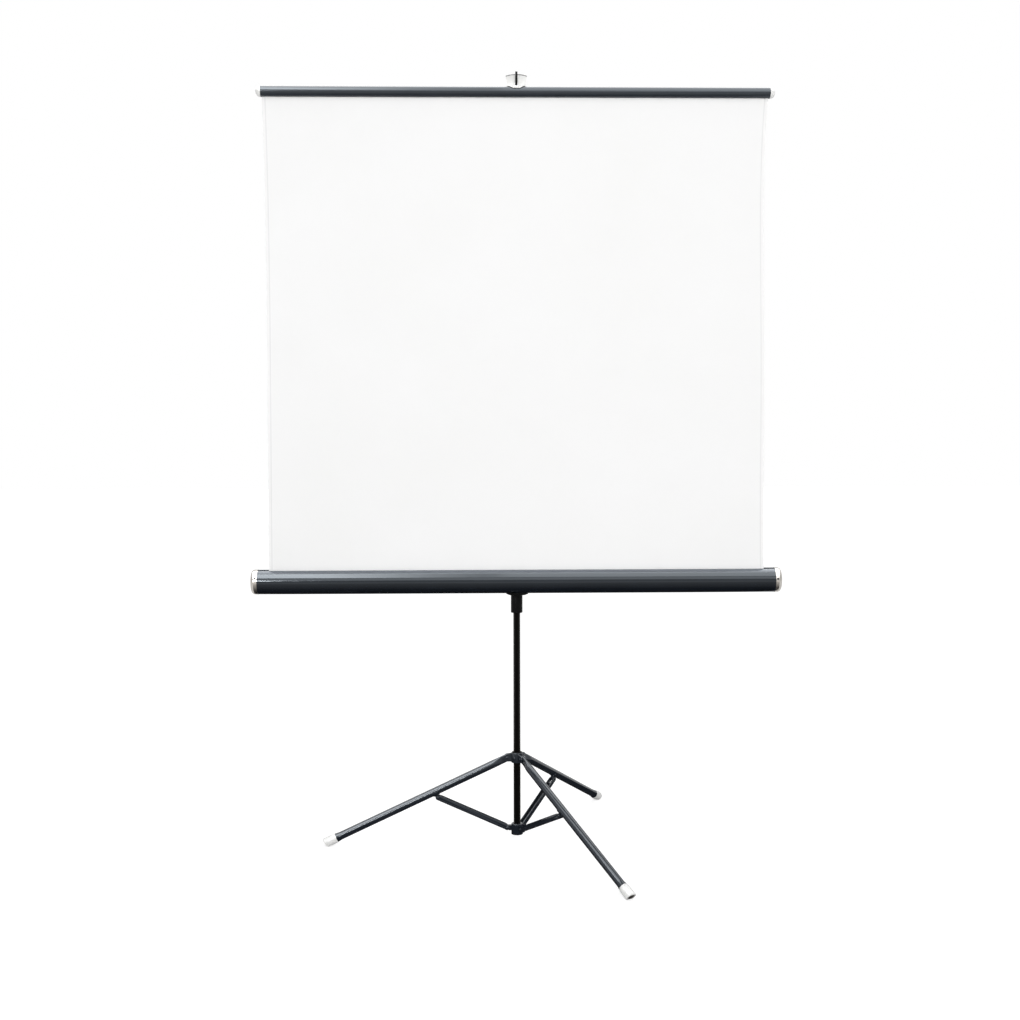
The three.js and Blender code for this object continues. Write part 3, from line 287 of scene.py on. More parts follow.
plug_low, plug_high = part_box("post_end_plug")
plug_seat = post_low.z - FIT
plug_radius = post_bore - FIT
plug_section = [
    (0, plug_low.z), (post_radius, plug_low.z), (post_radius, plug_seat),
    (plug_radius, plug_seat), (plug_radius, plug_high.z), (0, plug_high.z),
]
plug = shell("foot_plug", turned(eased(plug_section, PLUG_EASE)))
dress(plug, black_plastic, "black_plastic", "post_frame", "post_end_plug")

# Lower collar. A pressed steel ring in dark grey enamel, fixed near the foot of the post by a
# cross-head screw. Three hooked ears stand out of it, each open below for a brace's end pin.
COLLAR_BORE = post_radius + FIT
COLLAR_RADIUS = 0.018
COLLAR_EASE = 0.002
EAR_HALF_WIDTH = 0.006
EAR_HALF_HEIGHT = 0.008
EAR_TIP = 0.0055
NOTCH = 0.0037
EAR_PIVOT_RADIUS = 0.030
EAR_PIVOT_Z = 0.054
EAR_EASE = 0.0006
EAR_STATIONS = 40
SET_SCREW_SHANK = 0.002
HEAD_SIDE = 0.35
CROSS_ARM = 0.00065
CROSS_REACH = 0.6
CROSS_START = 0.5
CROSS_DEPTH = 0.55
SCREW_FACETS = 96

tripod_enamel = gloss_paint(
    "tripod_enamel", (0.009, 0.0125, 0.018), (0.014, 0.0175, 0.024),
    specular=0.42, tint=(0.88, 0.94, 1), rough=(0.09, 0.15),
)


def plated(name, dark, light, rough, stretch):
    """Bright metal: hardly any colour, with drawn lines in its gloss and a slight ripple."""
    return mottled(
        name, dark, light, rough, {"Metallic": 1.0},
        tone=(30, 4), gloss=(900, 3), relief=(300, 2), depth=(0.04, 0.0004), stretch=stretch,
    )


zinc = plated("zinc_plate", (0.5, 0.51, 0.53), (0.64, 0.65, 0.66), (0.24, 0.36), (1, 1, 0.05))


def rounded_edges(piece, width):
    """Round the piece's edges by a narrow bevel that keeps its flats flat."""
    bevel = piece.modifiers.new("edges", "BEVEL")
    bevel.limit_method = "ANGLE"
    bevel.angle_limit = SHARP_ANGLE
    bevel.width = width
    bevel.segments = 2
    bevel.harden_normals = True
    return piece


def arch(inner, outer, half, origin, across, up, through):
    """A bar between an inner and an outer path, of the same number of points, half thick to each
    side. Each station is a four-cornered section, and both ends are closed on their middles."""
    near = np.array([inner, outer, outer, inner, inner])
    depth = np.array([-half, -half, half, half, -half])[:, None, None]
    points = near[..., :1] * across + near[..., 1:] * up + depth * through + origin
    middle = points[:4].mean(0)
    first = np.repeat(middle[:1][None], 5, 0)
    last = np.repeat(middle[-1:][None], 5, 0)
    return np.concatenate([first, points, last], 1)


def along_path(path, count):
    """A path resampled to evenly spaced points."""
    path = np.asarray(path, float)
    run = np.concatenate([[0], np.cumsum(np.linalg.norm(np.diff(path, axis=0), axis=1))])
    at = np.linspace(0, run[-1], count)
    return np.stack([np.interp(at, run, path[:, 0]), np.interp(at, run, path[:, 1])], 1)


def outward(azimuth):
    """The level direction away from the post at an azimuth, and the one across it."""
    out = np.array((math.cos(azimuth), math.sin(azimuth), 0.0))
    return out, np.array((-math.sin(azimuth), math.cos(azimuth), 0.0))


def arc(centre, radii, angle):
    """Points on an ellipse: the centre plus the radii times the angle's cosine and sine."""
    return np.asarray(centre) + np.asarray(radii) * np.stack([np.cos(angle), np.sin(angle)], 1)


def cross_head(seat, axis, shank, depth, head, height):
    """A cross-head screw: a shank, a domed head turned about the axis, and a recess where the
    distance to either of two crossing lines is less than the arm's half width."""
    first, second, along = axes(axis)
    dome = np.linspace(0, math.pi / 2, 14)
    side = height * HEAD_SIDE
    path = np.vstack([
        [(0, -depth), (shank, -depth), (shank, 0), (head, 0), (head, side)],
        arc((0, side), (head, height - side), dome),
    ])
    angle = np.linspace(0, 2 * math.pi, SCREW_FACETS + 1)
    x = path[:, :1] * np.cos(angle)
    y = path[:, :1] * np.sin(angle)
    nearest = np.minimum(abs(x), abs(y))
    farthest = np.maximum(abs(x), abs(y))
    recess = (nearest < CROSS_ARM) & (farthest < CROSS_REACH * head)
    recess &= path[:, 1:] > height * CROSS_START
    z = path[:, 1:] - recess * height * CROSS_DEPTH
    return np.asarray(seat) + x[..., None] * first + y[..., None] * second + z[..., None] * along


joint = {entry["name"]: entry for entry in frame["joints"]}
SIDES = ("left", "front", "back")
leg_azimuth = {
    side: math.atan2(joint[f"{side}_leg_fold"]["pos_m"][1], joint[f"{side}_leg_fold"]["pos_m"][0])
    for side in SIDES
}
UP = np.array((0.0, 0.0, 1.0))

collar_low, collar_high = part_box("lower_collar")
half_turn = np.linspace(0, math.pi, 13)
notch_path = along_path(
    np.vstack([
        [(EAR_PIVOT_RADIUS - NOTCH, -EAR_HALF_HEIGHT)],
        arc((EAR_PIVOT_RADIUS, 0), (-NOTCH, NOTCH), half_turn),
        [(EAR_PIVOT_RADIUS + NOTCH, -EAR_HALF_HEIGHT)],
    ]),
    EAR_STATIONS,
)
ear_root = COLLAR_RADIUS - EAR_TIP / 2
ear_path = along_path(
    np.vstack([
        [(ear_root, -EAR_HALF_HEIGHT), (ear_root, EAR_HALF_HEIGHT)],
        arc((EAR_PIVOT_RADIUS, EAR_HALF_HEIGHT - EAR_TIP), EAR_TIP, (math.pi - half_turn) / 2),
        [(EAR_PIVOT_RADIUS + EAR_TIP, -EAR_HALF_HEIGHT)],
    ]),
    EAR_STATIONS,
)
ears = [
    arch(notch_path, ear_path, EAR_HALF_WIDTH, (0, 0, EAR_PIVOT_Z), out, UP, across)
    for out, across in map(outward, leg_azimuth.values())
]
collar_ring = straight_tube(COLLAR_BORE, COLLAR_RADIUS, collar_low, collar_high, COLLAR_EASE)
lower_collar = shell("collar_ring", collar_ring, *ears)
dress(rounded_edges(lower_collar, EAR_EASE), tripod_enamel, "grey_paint", "post_frame", "lower_collar")

set_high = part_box("lower_collar_screw")[1]
set_seat = (COLLAR_RADIUS + FIT, 0, EAR_PIVOT_Z)
set_screw = cross_head(
    set_seat, (1, 0, 0), SET_SCREW_SHANK, set_seat[0] - COLLAR_BORE,
    set_high.z - EAR_PIVOT_Z, set_high.x - set_seat[0],
)
dress(shell("collar_screw", set_screw), zinc, "zinc", "post_frame", "lower_collar_screw")

# Leg hub. A steel ring in the same enamel that slides up the post on a black plastic bush when
# the legs fold, with a cross-head screw in front. Welded pairs of plates hold the legs on domed rivets.
HUB_PIVOT_Z = joint["left_leg_fold"]["pos_m"][2]
HUB_PIVOT_RADIUS = -joint["left_leg_fold"]["pos_m"][0]
HUB_RADIUS = 0.018
BUSH_SPACE = 0.002
HUB_BORE = COLLAR_BORE + BUSH_SPACE
HUB_EASE = 0.0016
CLEVIS_RADIUS = 0.0115
CLEVIS_SHOULDER = math.radians(75)
CLEVIS_DROP = 0.0025
CLEVIS_PLATE = 0.003
CLEVIS_GAP = 0.0043
PLATE_EASE = 0.0007
BUSH_WALL = 0.0017
BUSH_EASE = 0.0006
RIVET_SHANK = 0.0025
RIVET_HEAD = 0.0045
RIVET_RISE = 0.002
RIVET_SIDE = 0.3
RIVET_FACETS = 40
HUB_SCREW_SHANK = 0.002
HUB_SCREW_HEAD = 0.004
HUB_SCREW_RISE = 0.0026


def plate(outline, centre, half, ease, origin, across, up, through):
    """A flat plate: rings of points from the middle of one face, over its eased rim, to the middle
    of the other. The rim's inner rings are the outline drawn in towards the centre."""
    rim = np.asarray(outline, float)
    away = rim - centre
    inset = centre + away * (1 - ease / np.linalg.norm(away, axis=1, keepdims=True))
    middle = np.repeat(np.asarray(centre, float)[None], len(rim), 0)
    rings = np.stack([middle, inset, rim, rim, inset, middle])
    depth = np.array([-half, -half, ease - half, half - ease, half, half])[:, None, None]
    return np.asarray(origin) + rings[..., :1] * across + rings[..., 1:] * up + depth * through


def domed_pin(middle, axis, half):
    """A pin with a low dome at both ends: a profile of a quarter ellipse on a straight edge,
    mirrored about its middle and turned about the pin's axis."""
    seat = half + FIT
    edge = RIVET_RISE * RIVET_SIDE
    dome = arc((0, seat + edge), (RIVET_HEAD, RIVET_RISE - edge), np.linspace(math.pi / 2, 0, 9))
    side = np.vstack([dome, [(RIVET_HEAD, seat), (RIVET_SHANK, seat)]])
    return turned(np.vstack([side, (side * (1, -1))[::-1]]), middle, axis, RIVET_FACETS)


hub_low, hub_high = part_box("leg_hub")
clevis_root = HUB_RADIUS - CLEVIS_PLATE
clevis_bend = np.linspace(-math.pi / 2, CLEVIS_SHOULDER, 25)
clevis_top = hub_high.z - HUB_PIVOT_Z - CLEVIS_DROP
clevis_outline = np.vstack([
    [(clevis_root, 0), (clevis_root, -CLEVIS_RADIUS)],
    arc((HUB_PIVOT_RADIUS, 0), CLEVIS_RADIUS, clevis_bend),
    [(clevis_root, clevis_top), (clevis_root, 0)],
])
clevis_middle = np.array((HUB_PIVOT_RADIUS - CLEVIS_RADIUS / 2, 0.0))
clevis_plates = []
for out, across in map(outward, leg_azimuth.values()):
    for side in (-1, 1):
        middle = HUB_PIVOT_Z * UP + side * (CLEVIS_GAP + CLEVIS_PLATE / 2) * across
        clevis_plates.append(
            plate(clevis_outline, clevis_middle, CLEVIS_PLATE / 2, PLATE_EASE, middle, out, UP, across)
        )
hub_wall = straight_tube(HUB_BORE, HUB_RADIUS, hub_low, hub_high, HUB_EASE)
hub = shell("hub_ring_and_plates", hub_wall, *clevis_plates)
dress(hub, tripod_enamel, "grey_paint", "hub_ring", "leg_hub")

bush_low, bush_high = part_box("hub_bush")
bush_wall = COLLAR_BORE + BUSH_WALL
bush_flange = hub_high.z + FIT
bush_section = [
    (COLLAR_BORE, bush_low.z), (bush_wall, bush_low.z), (bush_wall, bush_flange),
    (bush_high.x, bush_flange), (bush_high.x, bush_high.z), (COLLAR_BORE, bush_high.z),
]
bush = shell("bush_sleeve", turned(eased(bush_section, BUSH_EASE, loop=True)))
dress(bush, black_plastic, "black_plastic", "hub_ring", "hub_bush")

for side in SIDES:
    hinge = joint[f"{side}_leg_fold"]
    rivet = shell(f"leg_pin_{side}", domed_pin(hinge["pos_m"], hinge["axis"], CLEVIS_GAP + CLEVIS_PLATE))
    dress(rivet, tripod_enamel, "grey_paint", "hub_ring", f"leg_rivet_{side}")

hub_screw_out = np.array(joint["hub_screw_turn"]["axis"], float)
hub_screw_seat = (HUB_RADIUS + FIT) * hub_screw_out + joint["hub_screw_turn"]["pos_m"][2] * UP
hub_screw = cross_head(
    hub_screw_seat, hub_screw_out, HUB_SCREW_SHANK, HUB_RADIUS + FIT - COLLAR_BORE,
    HUB_SCREW_HEAD, HUB_SCREW_RISE,
)
dress(shell("hub_screw_head", hub_screw), tripod_enamel, "grey_paint", "hub_screw", "hub_lock_screw")

# Legs. Three steel tubes in grey enamel, each pressed flat at the hub end into a rounded blade,
# with a pressed saddle under it for the brace. Its foot is a white plastic cup on a raked rubber sole.
LEG_RADIUS = 0.012
LEG_LENGTH = 0.612
BLADE_HALF = 0.004
BLADE_RADIUS = 0.0115
BLADE_LENGTH = 0.014
FLARE_LENGTH = 0.038
BLADE_SQUARENESS = 0.5
BRACE_ALONG_LEG = 0.248
LUG_DROP = 0.0205
FERRULE_LENGTH = 0.020
FERRULE_RISE = 0.0018
FOOT_BORE = LEG_RADIUS + FIT
FOOT_MOUTH_RADIUS = 0.0141
FOOT_RADIUS = 0.0153
FOOT_MOUTH = 0.585
FOOT_SWELL = 0.012
FOOT_TIP = 0.619
FOOT_ROUND = 0.006
FOOT_RAKE = math.tan(math.radians(18))
FOOT_SEAT = 0.6123
FOOT_EASE = 0.0007
SOLE_RADIUS = 0.012
SOLE_SHIFT = 0.001
SOLE_DEPTH = 0.0026
SOLE_INSET = 0.0003
FOLD_EASE = 0.0005
FLAT_ANGLE = math.radians(1)

white_plastic = moulding(
    "white_plastic", (0.80, 0.80, 0.785), (0.86, 0.86, 0.85),
    specular=0.5, rough=(0.22, 0.34), grain=0.05,
)
dark_rubber = moulding(
    "dark_rubber", (0.035, 0.030, 0.026), (0.055, 0.048, 0.042),
    specular=0.3, rough=(0.6, 0.75), grain=0.3,
)


def leg_axes(side):
    """The leg's own frame from its two pivots: along the tube, across it, square to both, and the
    pivot at the hub. The lug's pivot lies below the tube's line by the lug's drop."""
    out, across = outward(leg_azimuth[side])
    hub_pivot = np.array(joint[f"{side}_leg_fold"]["pos_m"])
    lug_pivot = np.array(joint[f"{side}_brace_fold"]["pos_m"])
    step = lug_pivot - hub_pivot
    slope = math.atan2(-step[2], step @ out) - math.atan2(LUG_DROP, BRACE_ALONG_LEG)
    along = math.cos(slope) * out - math.sin(slope) * UP
    return along, across, math.sin(slope) * out + math.cos(slope) * UP, hub_pivot


def leg_tube(along, across, above, pivot, facets=FACETS):
    """A tube lofted from a flat blade: each section is a superellipse whose half width, half height
    and exponent ease from the blade's to the tube's. The blade's end is a half circle, and the tube
    swells by the square of the distance just before the foot."""
    bend = np.linspace(0, math.pi / 2, 12)
    share = np.linspace(0, 1, 16)
    ease = share**2 * (3 - 2 * share)
    swell = np.linspace(0, 1, 8)
    ferrule = FOOT_MOUTH - FIT - FERRULE_LENGTH * (1 - swell)
    x = np.concatenate([
        -BLADE_RADIUS * np.cos(bend), BLADE_LENGTH + FLARE_LENGTH * share,
        ferrule, ferrule[-1:], [LEG_LENGTH] * 2,
    ])
    blend = np.concatenate([0 * bend, ease, np.ones(len(swell) + 3)])
    rise = np.concatenate([0 * bend, 0 * share, FERRULE_RISE * swell**2, np.zeros(3)])
    half_y = BLADE_HALF + (LEG_RADIUS - BLADE_HALF) * blend + rise
    half_z = BLADE_RADIUS + (LEG_RADIUS - BLADE_RADIUS) * blend + rise
    half_z[:len(bend)] = BLADE_RADIUS * np.sin(bend)
    half_y[-1] = half_z[-1] = 0
    power = (BLADE_SQUARENESS + (1 - BLADE_SQUARENESS) * blend)[:, None]
    angle = np.linspace(0, 2 * math.pi, facets + 1)
    y = half_y[:, None] * np.sign(np.cos(angle)) * abs(np.cos(angle)) ** power
    z = half_z[:, None] * np.sign(np.sin(angle)) * abs(np.sin(angle)) ** power
    return pivot + x[:, None, None] * along + y[..., None] * across + z[..., None] * above


def raked(path, along, across, above, pivot, facets=FACETS):
    """A path of [radius, distance, shift, depth] points turned about the leg's line, each ring set
    down by its shift. A distance stops at the raked plane, which runs from the foot's lower edge
    outwards with the height above it, less the point's depth, and nothing goes below the floor."""
    radius, distance, shift, depth = (np.asarray(path, float)[:, None, i] for i in range(4))
    angle = np.linspace(0, 2 * math.pi, facets + 1)
    y = radius * np.cos(angle)
    z = radius * np.sin(angle) - shift
    x = np.minimum(distance, FOOT_TIP + (z + FOOT_RADIUS) * FOOT_RAKE - depth)
    points = pivot + x[..., None] * along + y[..., None] * across + z[..., None] * above
    points[..., 2] = np.maximum(points[..., 2], 0)
    return points


def eased_copy(name, source, width):
    """The node's own folded sheet, its loose triangles joined and its flats made whole, with the
    edges rounded as pressed metal is."""
    mesh = frame["nodes"][source].data.copy()
    mesh.name = name
    mesh.materials.clear()
    work = bmesh.new()
    work.from_mesh(mesh)
    bmesh.ops.remove_doubles(work, verts=work.verts, dist=MERGE)
    bmesh.ops.dissolve_limit(work, angle_limit=FLAT_ANGLE, verts=work.verts, edges=work.edges)
    work.to_mesh(mesh)
    work.free()
    mesh.shade_smooth()
    return rounded_edges(bpy.data.objects.new(name, mesh), width)


foot_crown = FOOT_TIP + 2 * FOOT_RADIUS * FOOT_RAKE
foot_middle = (FOOT_RADIUS - FOOT_ROUND, foot_crown - FOOT_ROUND)
foot_dome = np.pad(arc(foot_middle, FOOT_ROUND, np.linspace(0, math.pi / 2, 10)), ((0, 0), (0, 2)))
foot_path = np.vstack([
    eased([
        (0, FOOT_SEAT, 0, 0), (FOOT_BORE, FOOT_SEAT, 0, 0), (FOOT_BORE, FOOT_MOUTH, 0, 0),
        (FOOT_MOUTH_RADIUS, FOOT_MOUTH, 0, 0), (FOOT_RADIUS, FOOT_MOUTH + FOOT_SWELL, 0, 0),
        tuple(foot_dome[0]),
    ], FOOT_EASE),
    foot_dome[1:],
    [
        (SOLE_RADIUS, 1, SOLE_SHIFT, 0), (SOLE_RADIUS, 1, SOLE_SHIFT, SOLE_DEPTH),
        (0, 1, SOLE_SHIFT, SOLE_DEPTH),
    ],
])
sole_radius = SOLE_RADIUS - SOLE_INSET
sole_path = eased([
    (0, 1, SOLE_SHIFT, SOLE_DEPTH - SOLE_INSET), (sole_radius, 1, SOLE_SHIFT, SOLE_DEPTH - SOLE_INSET),
    (sole_radius, 1, SOLE_SHIFT, SOLE_INSET), (0, 1, SOLE_SHIFT, 0),
], FOOT_EASE)
for side in SIDES:
    place = leg_axes(side)
    tube = shell(f"leg_tube_{side}", leg_tube(*place))
    dress(tube, tripod_enamel, "grey_paint", f"{side}_leg", f"leg_{side}")
    lug = eased_copy(f"leg_saddle_{side}", f"brace_lug_{side}", FOLD_EASE)
    dress(lug, tripod_enamel, "grey_paint", f"{side}_leg", f"brace_lug_{side}")
    foot = shell(f"foot_cup_{side}", raked(foot_path, *place))
    dress(rounded_edges(foot, FOOT_EASE), white_plastic, "white_plastic", f"{side}_leg", f"foot_{side}")
    sole = shell(f"foot_sole_{side}", raked(sole_path, *place))
    dress(sole, dark_rubber, "black_plastic", f"{side}_leg")

# Braces. Three folded steel channels, open side up, whose cheeks straddle the saddle under the leg
# and the ear on the lower collar, with a domed pin at each end.
BRACE_HALF_WIDTH = 0.008

for side in SIDES:
    strut = eased_copy(f"brace_channel_{side}", f"brace_{side}", FOLD_EASE)
    dress(strut, tripod_enamel, "grey_paint", f"{side}_brace", f"brace_{side}")
    out, across = outward(leg_azimuth[side])
    upper = joint[f"{side}_brace_fold"]["pos_m"]
    lower = EAR_PIVOT_RADIUS * out + EAR_PIVOT_Z * UP
    for name, place in ((f"brace_rivet_{side}", upper), (f"brace_end_pin_{side}", lower)):
        pin = shell(f"{name}_dome", domed_pin(place, across, BRACE_HALF_WIDTH))
        dress(pin, tripod_enamel, "grey_paint", f"{side}_brace", name)

# Height collar. A black plastic ring that clamps the post by a lobed knob at its back and carries
# the case bracket above it.
HEIGHT_COLLAR_EASE = 0.0022
KNOB_LOBES = 6
KNOB_LOBE_DEPTH = 0.0016
KNOB_NECK = 0.005
KNOB_RADIUS = 0.012
KNOB_LENGTH = 0.018
KNOB_NECK_RADIUS = 0.006
KNOB_SHANK = 0.003
KNOB_STAND_OFF = 0.0005
KNOB_EASE = 0.00072
KNOB_FACETS = 96


def lobed_knob(name, hinge, ring_radius, bore):
    """A moulded knob on the back of a ring: a profile of [radius, distance, lobe share] points
    turned about its axis, with the grip's radius drawn in by a cosine wave round the turn, so that
    lobes stand out, and a dished end. Its shank reaches the ring's bore."""
    seat = np.array((0, ring_radius + KNOB_STAND_OFF, joint[hinge]["pos_m"][2]))
    depth = seat[1] - bore
    grip, end = KNOB_RADIUS, KNOB_NECK + KNOB_LENGTH
    path = eased([
        (0, -depth, 0), (KNOB_SHANK, -depth, 0), (KNOB_SHANK, 0, 0),
        (KNOB_NECK_RADIUS, 0, 0), (KNOB_NECK_RADIUS, KNOB_NECK, 0),
        (grip * 0.86, KNOB_NECK, 0.6), (grip, KNOB_NECK + KNOB_LENGTH * 0.09, 1),
        (grip, end - KNOB_LENGTH * 0.16, 1), (grip * 0.97, end - KNOB_LENGTH * 0.05, 1),
        (grip * 0.86, end, 0.7), (grip * 0.62, end, 0), (grip * 0.5, end - KNOB_LENGTH * 0.05, 0),
        (0, end - KNOB_LENGTH * 0.06, 0),
    ], KNOB_EASE)
    first, second, along = axes((0, 1, 0))
    angle = np.linspace(0, 2 * math.pi, KNOB_FACETS + 1)
    dip = KNOB_LOBE_DEPTH * (0.5 - 0.5 * np.cos(KNOB_LOBES * angle))
    reach = path[:, :1] - path[:, 2:] * dip
    ring = np.cos(angle)[:, None] * first + np.sin(angle)[:, None] * second
    return shell(name, seat + path[:, None, 1:2] * along + reach[..., None] * ring)


height_low, height_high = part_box("height_collar")
height_radius = height_high.x
height_ring = straight_tube(COLLAR_BORE, height_radius, height_low, height_high, HEIGHT_COLLAR_EASE)
dress(shell("height_ring", height_ring), black_plastic, "black_plastic", "collar_clamp", "height_collar")

height_knob = lobed_knob("height_knob_lobes", "height_knob_turn", height_radius, COLLAR_BORE)
dress(height_knob, black_plastic, "black_plastic", "height_knob", "height_lock_knob")

# Case bracket. A black moulded sleeve on the post that grows into a saddle under and behind the
# case, held by two cross-head screws from below.
BRACKET_EASE = 0.0009
BRACKET_SCREW_SHANK = 0.002
BRACKET_SCREW_HEAD = 0.004
BRACKET_SCREW_RISE = 0.0024
BRACKET_SCREW_BITE = 0.002
BRACKET_SCREW_X = 0.017
BRACKET_SCREW_ANGLE = math.radians(-45)
SADDLE_REACH = 0.0441
ENDS = (("left", -1), ("right", 1))

bracket = eased_copy("bracket_saddle", "case_bracket", BRACKET_EASE)
dress(bracket, black_plastic, "black_plastic", "carriage", "case_bracket")

case_low, case_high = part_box("case_shell")
case_y = (case_low.y + case_high.y) / 2
case_z = (case_low.z + case_high.z) / 2
case_radius = (case_high.z - case_low.z) / 2
case_half = case_high.x


def case_place(x, angle, reach):
    """A point at a distance from the case's axis, turned up from the rear, and its direction."""
    direction = np.array((0, math.cos(angle), math.sin(angle)))
    return reach * direction + (x, case_y, case_z), direction


for side, sign in ENDS:
    seat, direction = case_place(sign * BRACKET_SCREW_X, BRACKET_SCREW_ANGLE, SADDLE_REACH)
    fixing = cross_head(
        seat, direction, BRACKET_SCREW_SHANK, SADDLE_REACH - case_radius + BRACKET_SCREW_BITE,
        BRACKET_SCREW_HEAD, BRACKET_SCREW_RISE,
    )
    dress(shell(f"bracket_fixing_{side}", fixing), zinc, "zinc", "carriage", f"bracket_screw_{side}")

# Case. A rolled sheet-steel barrel in grey enamel, slotted along its top for the fabric, with a painted
# highlight as a pale band along its front edge. Both edges are hemmed inwards, and bright domed caps
# close the ends, each with a small blackened cross-head screw.
CASE_WALL = 0.001
SLOT_FRONT = -0.0125
SLOT_REAR = -0.0025
SLOT_LIP = 0.005
LIP_BEND = 0.0016
LIP_STATIONS = 7
ROUND_STATIONS = 145
LENGTH_STATIONS = 25
RIM = 0.0004
# Where the painted highlight along the case's front lip starts and where it is full, and its pale grey.
LIP_HIGHLIGHT_START = -0.030
LIP_HIGHLIGHT_FULL = -0.021
LIP_HIGHLIGHT_GREY = (0.14, 0.155, 0.18)
CAP_BORE_WALL = 0.0022
CAP_ROUND = 0.011
CAP_LENGTH = 0.020
CAP_SCREW_X = 0.0055
CAP_SCREW_SHANK = 0.0016
CAP_SCREW_HEAD = 0.0032
CAP_SCREW_RISE = 0.0018
CAP_SCREW_DEPTH = 0.0035
CAP_FACETS = 96
CAP_SCREW_TURN = {"left": math.radians(156), "right": math.radians(170)}

case_enamel = gloss_paint(
    "case_enamel", (0.003, 0.0048, 0.0082), (0.005, 0.0072, 0.0115),
    specular=0.47, tint=(0.85, 0.93, 1), rough=(0.07, 0.12),
)
chrome = plated("bright_chrome", (0.40, 0.38, 0.355), (0.47, 0.45, 0.42), (0.1, 0.18), (1, 1, 1))
dark_zinc = plated("dark_zinc", (0.012, 0.012, 0.013), (0.024, 0.024, 0.026), (0.3, 0.4), (1, 1, 1))


def painted_lip_highlight(finish):
    """A painted highlight along the slot's front lip: across the case the share of pale grey rises
    smoothly from where the highlight starts to where it is full, up to the slot, on the case's upper
    side only."""
    tree = finish.node_tree
    colour = tree.nodes["Principled BSDF"].inputs["Base Color"]
    place = node(tree, "SeparateXYZ", {"Vector": node(tree, "TexCoord").outputs["Object"]}).outputs
    # The painted highlight rises from nothing at the first of these places to full at the second.
    whole, lip_lit = case_y + LIP_HIGHLIGHT_START, case_y + LIP_HIGHLIGHT_FULL
    rise = {"Value": place["Y"], "From Min": whole, "From Max": lip_lit}
    share = node(tree, "MapRange", rise, interpolation_type="SMOOTHSTEP").outputs["Result"]
    slot_middle = case_y + (SLOT_FRONT + SLOT_REAR) / 2
    for axis, test, limit in (("Y", "LESS_THAN", slot_middle), ("Z", "GREATER_THAN", case_z)):
        inside = node(tree, "Math", {0: place[axis], 1: limit}, operation=test).outputs[0]
        share = node(tree, "Math", {0: share, 1: inside}, operation="MULTIPLY").outputs[0]
    paint = colour.links[0].from_socket
    mixed = node(tree, "Mix", {0: share, 6: paint, 7: (*LIP_HIGHLIGHT_GREY, 1)}, data_type="RGBA")
    tree.links.new(mixed.outputs[2], colour)
    return finish


def slotted_tube(radius, front, rear, lip, half, flip, origin):
    """A rolled tube with a slot: a path down one lip, round the circle and down the other lip,
    carried along X. The bends into the lips are quadratic curves. flip turns the slot below."""
    def bend(edge):
        corner = np.array((edge, math.sqrt(radius**2 - edge**2)))
        lean = LIP_BEND / radius
        turn = math.atan2(corner[1], corner[0]) + (lean if edge == front else -lean)
        on_circle = radius * np.array((math.cos(turn), math.sin(turn)))
        t = np.linspace(0, 1, LIP_STATIONS)[:, None]
        drop = corner - (0, LIP_BEND)
        curve = (1 - t) ** 2 * drop + 2 * t * (1 - t) * corner + t**2 * on_circle
        foot = corner - (0, lip)
        return np.vstack([[foot, foot + (0, RIM)], curve]), turn

    front_bend, start = bend(front)
    rear_bend, end = bend(rear)
    angle = np.linspace(start, end + 2 * math.pi, ROUND_STATIONS)[1:-1]
    path = flip * np.vstack([front_bend, arc((0, 0), radius, angle), rear_bend[::-1]])
    x = np.concatenate([[-half], np.linspace(RIM - half, half - RIM, LENGTH_STATIONS), [half]])
    points = np.empty((len(x), len(path), 3))
    points[..., 0] = x[:, None]
    points[..., 1:] = path
    return points + origin


def walled(piece, wall):
    """Give a sheet its thickness, inwards from the face that was drawn."""
    thick = piece.modifiers.new("wall", "SOLIDIFY")
    thick.thickness = wall
    thick.offset = -1
    return piece


barrel_grid = slotted_tube(
    case_radius, SLOT_FRONT, SLOT_REAR, SLOT_LIP, case_half, 1, (0, case_y, case_z)
)
barrel = walled(shell("case_barrel", barrel_grid, closed=False), CASE_WALL)
dress(barrel, painted_lip_highlight(case_enamel), "grey_paint", "carriage", "case_shell")

cap_low, cap_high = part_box("case_cap_right")
cap_radius = (cap_high.z - cap_low.z) / 2
cap_middle = (cap_radius - CAP_ROUND, CAP_LENGTH - CAP_ROUND)
quarter = np.linspace(0, math.pi / 2, 13)
cap_section = np.vstack([
    [(cap_radius - CAP_BORE_WALL, FIT), (cap_radius, FIT)],
    arc(cap_middle, CAP_ROUND, quarter),
    [(0, CAP_LENGTH), (0, CAP_LENGTH - CAP_BORE_WALL)],
    arc(cap_middle, CAP_ROUND - CAP_BORE_WALL, quarter)[::-1],
    [(cap_radius - CAP_BORE_WALL, FIT)],
])
for side, sign in ENDS:
    cap = turned(cap_section, (sign * case_half, case_y, case_z), (sign, 0, 0), CAP_FACETS)
    dress(shell(f"case_end_{side}", cap), chrome, "chrome", "carriage", f"case_cap_{side}")
    reach = cap_radius + FIT
    seat, direction = case_place(sign * (case_half + CAP_SCREW_X), CAP_SCREW_TURN[side], reach)
    fixing = cross_head(
        seat, direction, CAP_SCREW_SHANK, CAP_SCREW_DEPTH, CAP_SCREW_HEAD, CAP_SCREW_RISE
    )
    dress(shell(f"cap_fixing_{side}", fixing), dark_zinc, "zinc", "carriage", f"cap_screw_{side}")

# Roller. Inside the case a steel tube turns between two pressed brackets on a gudgeon and a spring
# arbor. The spare turns of fabric lie round it in a spiral.
ROLL_TURNS = 1.9
ROLL_WALL = 0.0004
ROLL_HALF = 0.75
ROLL_STATIONS = 150
THREADS = {"Scale": 260.0, "Distortion": 0.6}
WEAVE_DEPTH = (0.12, 0.0002)
CLOTH_CLOUDS = (2.2, 3)
CLOTH_DARK, CLOTH_LIGHT = (0.905, 0.905, 0.90), (0.925, 0.925, 0.925)
HEM_SHADE = (0.86, 0.86, 0.86)

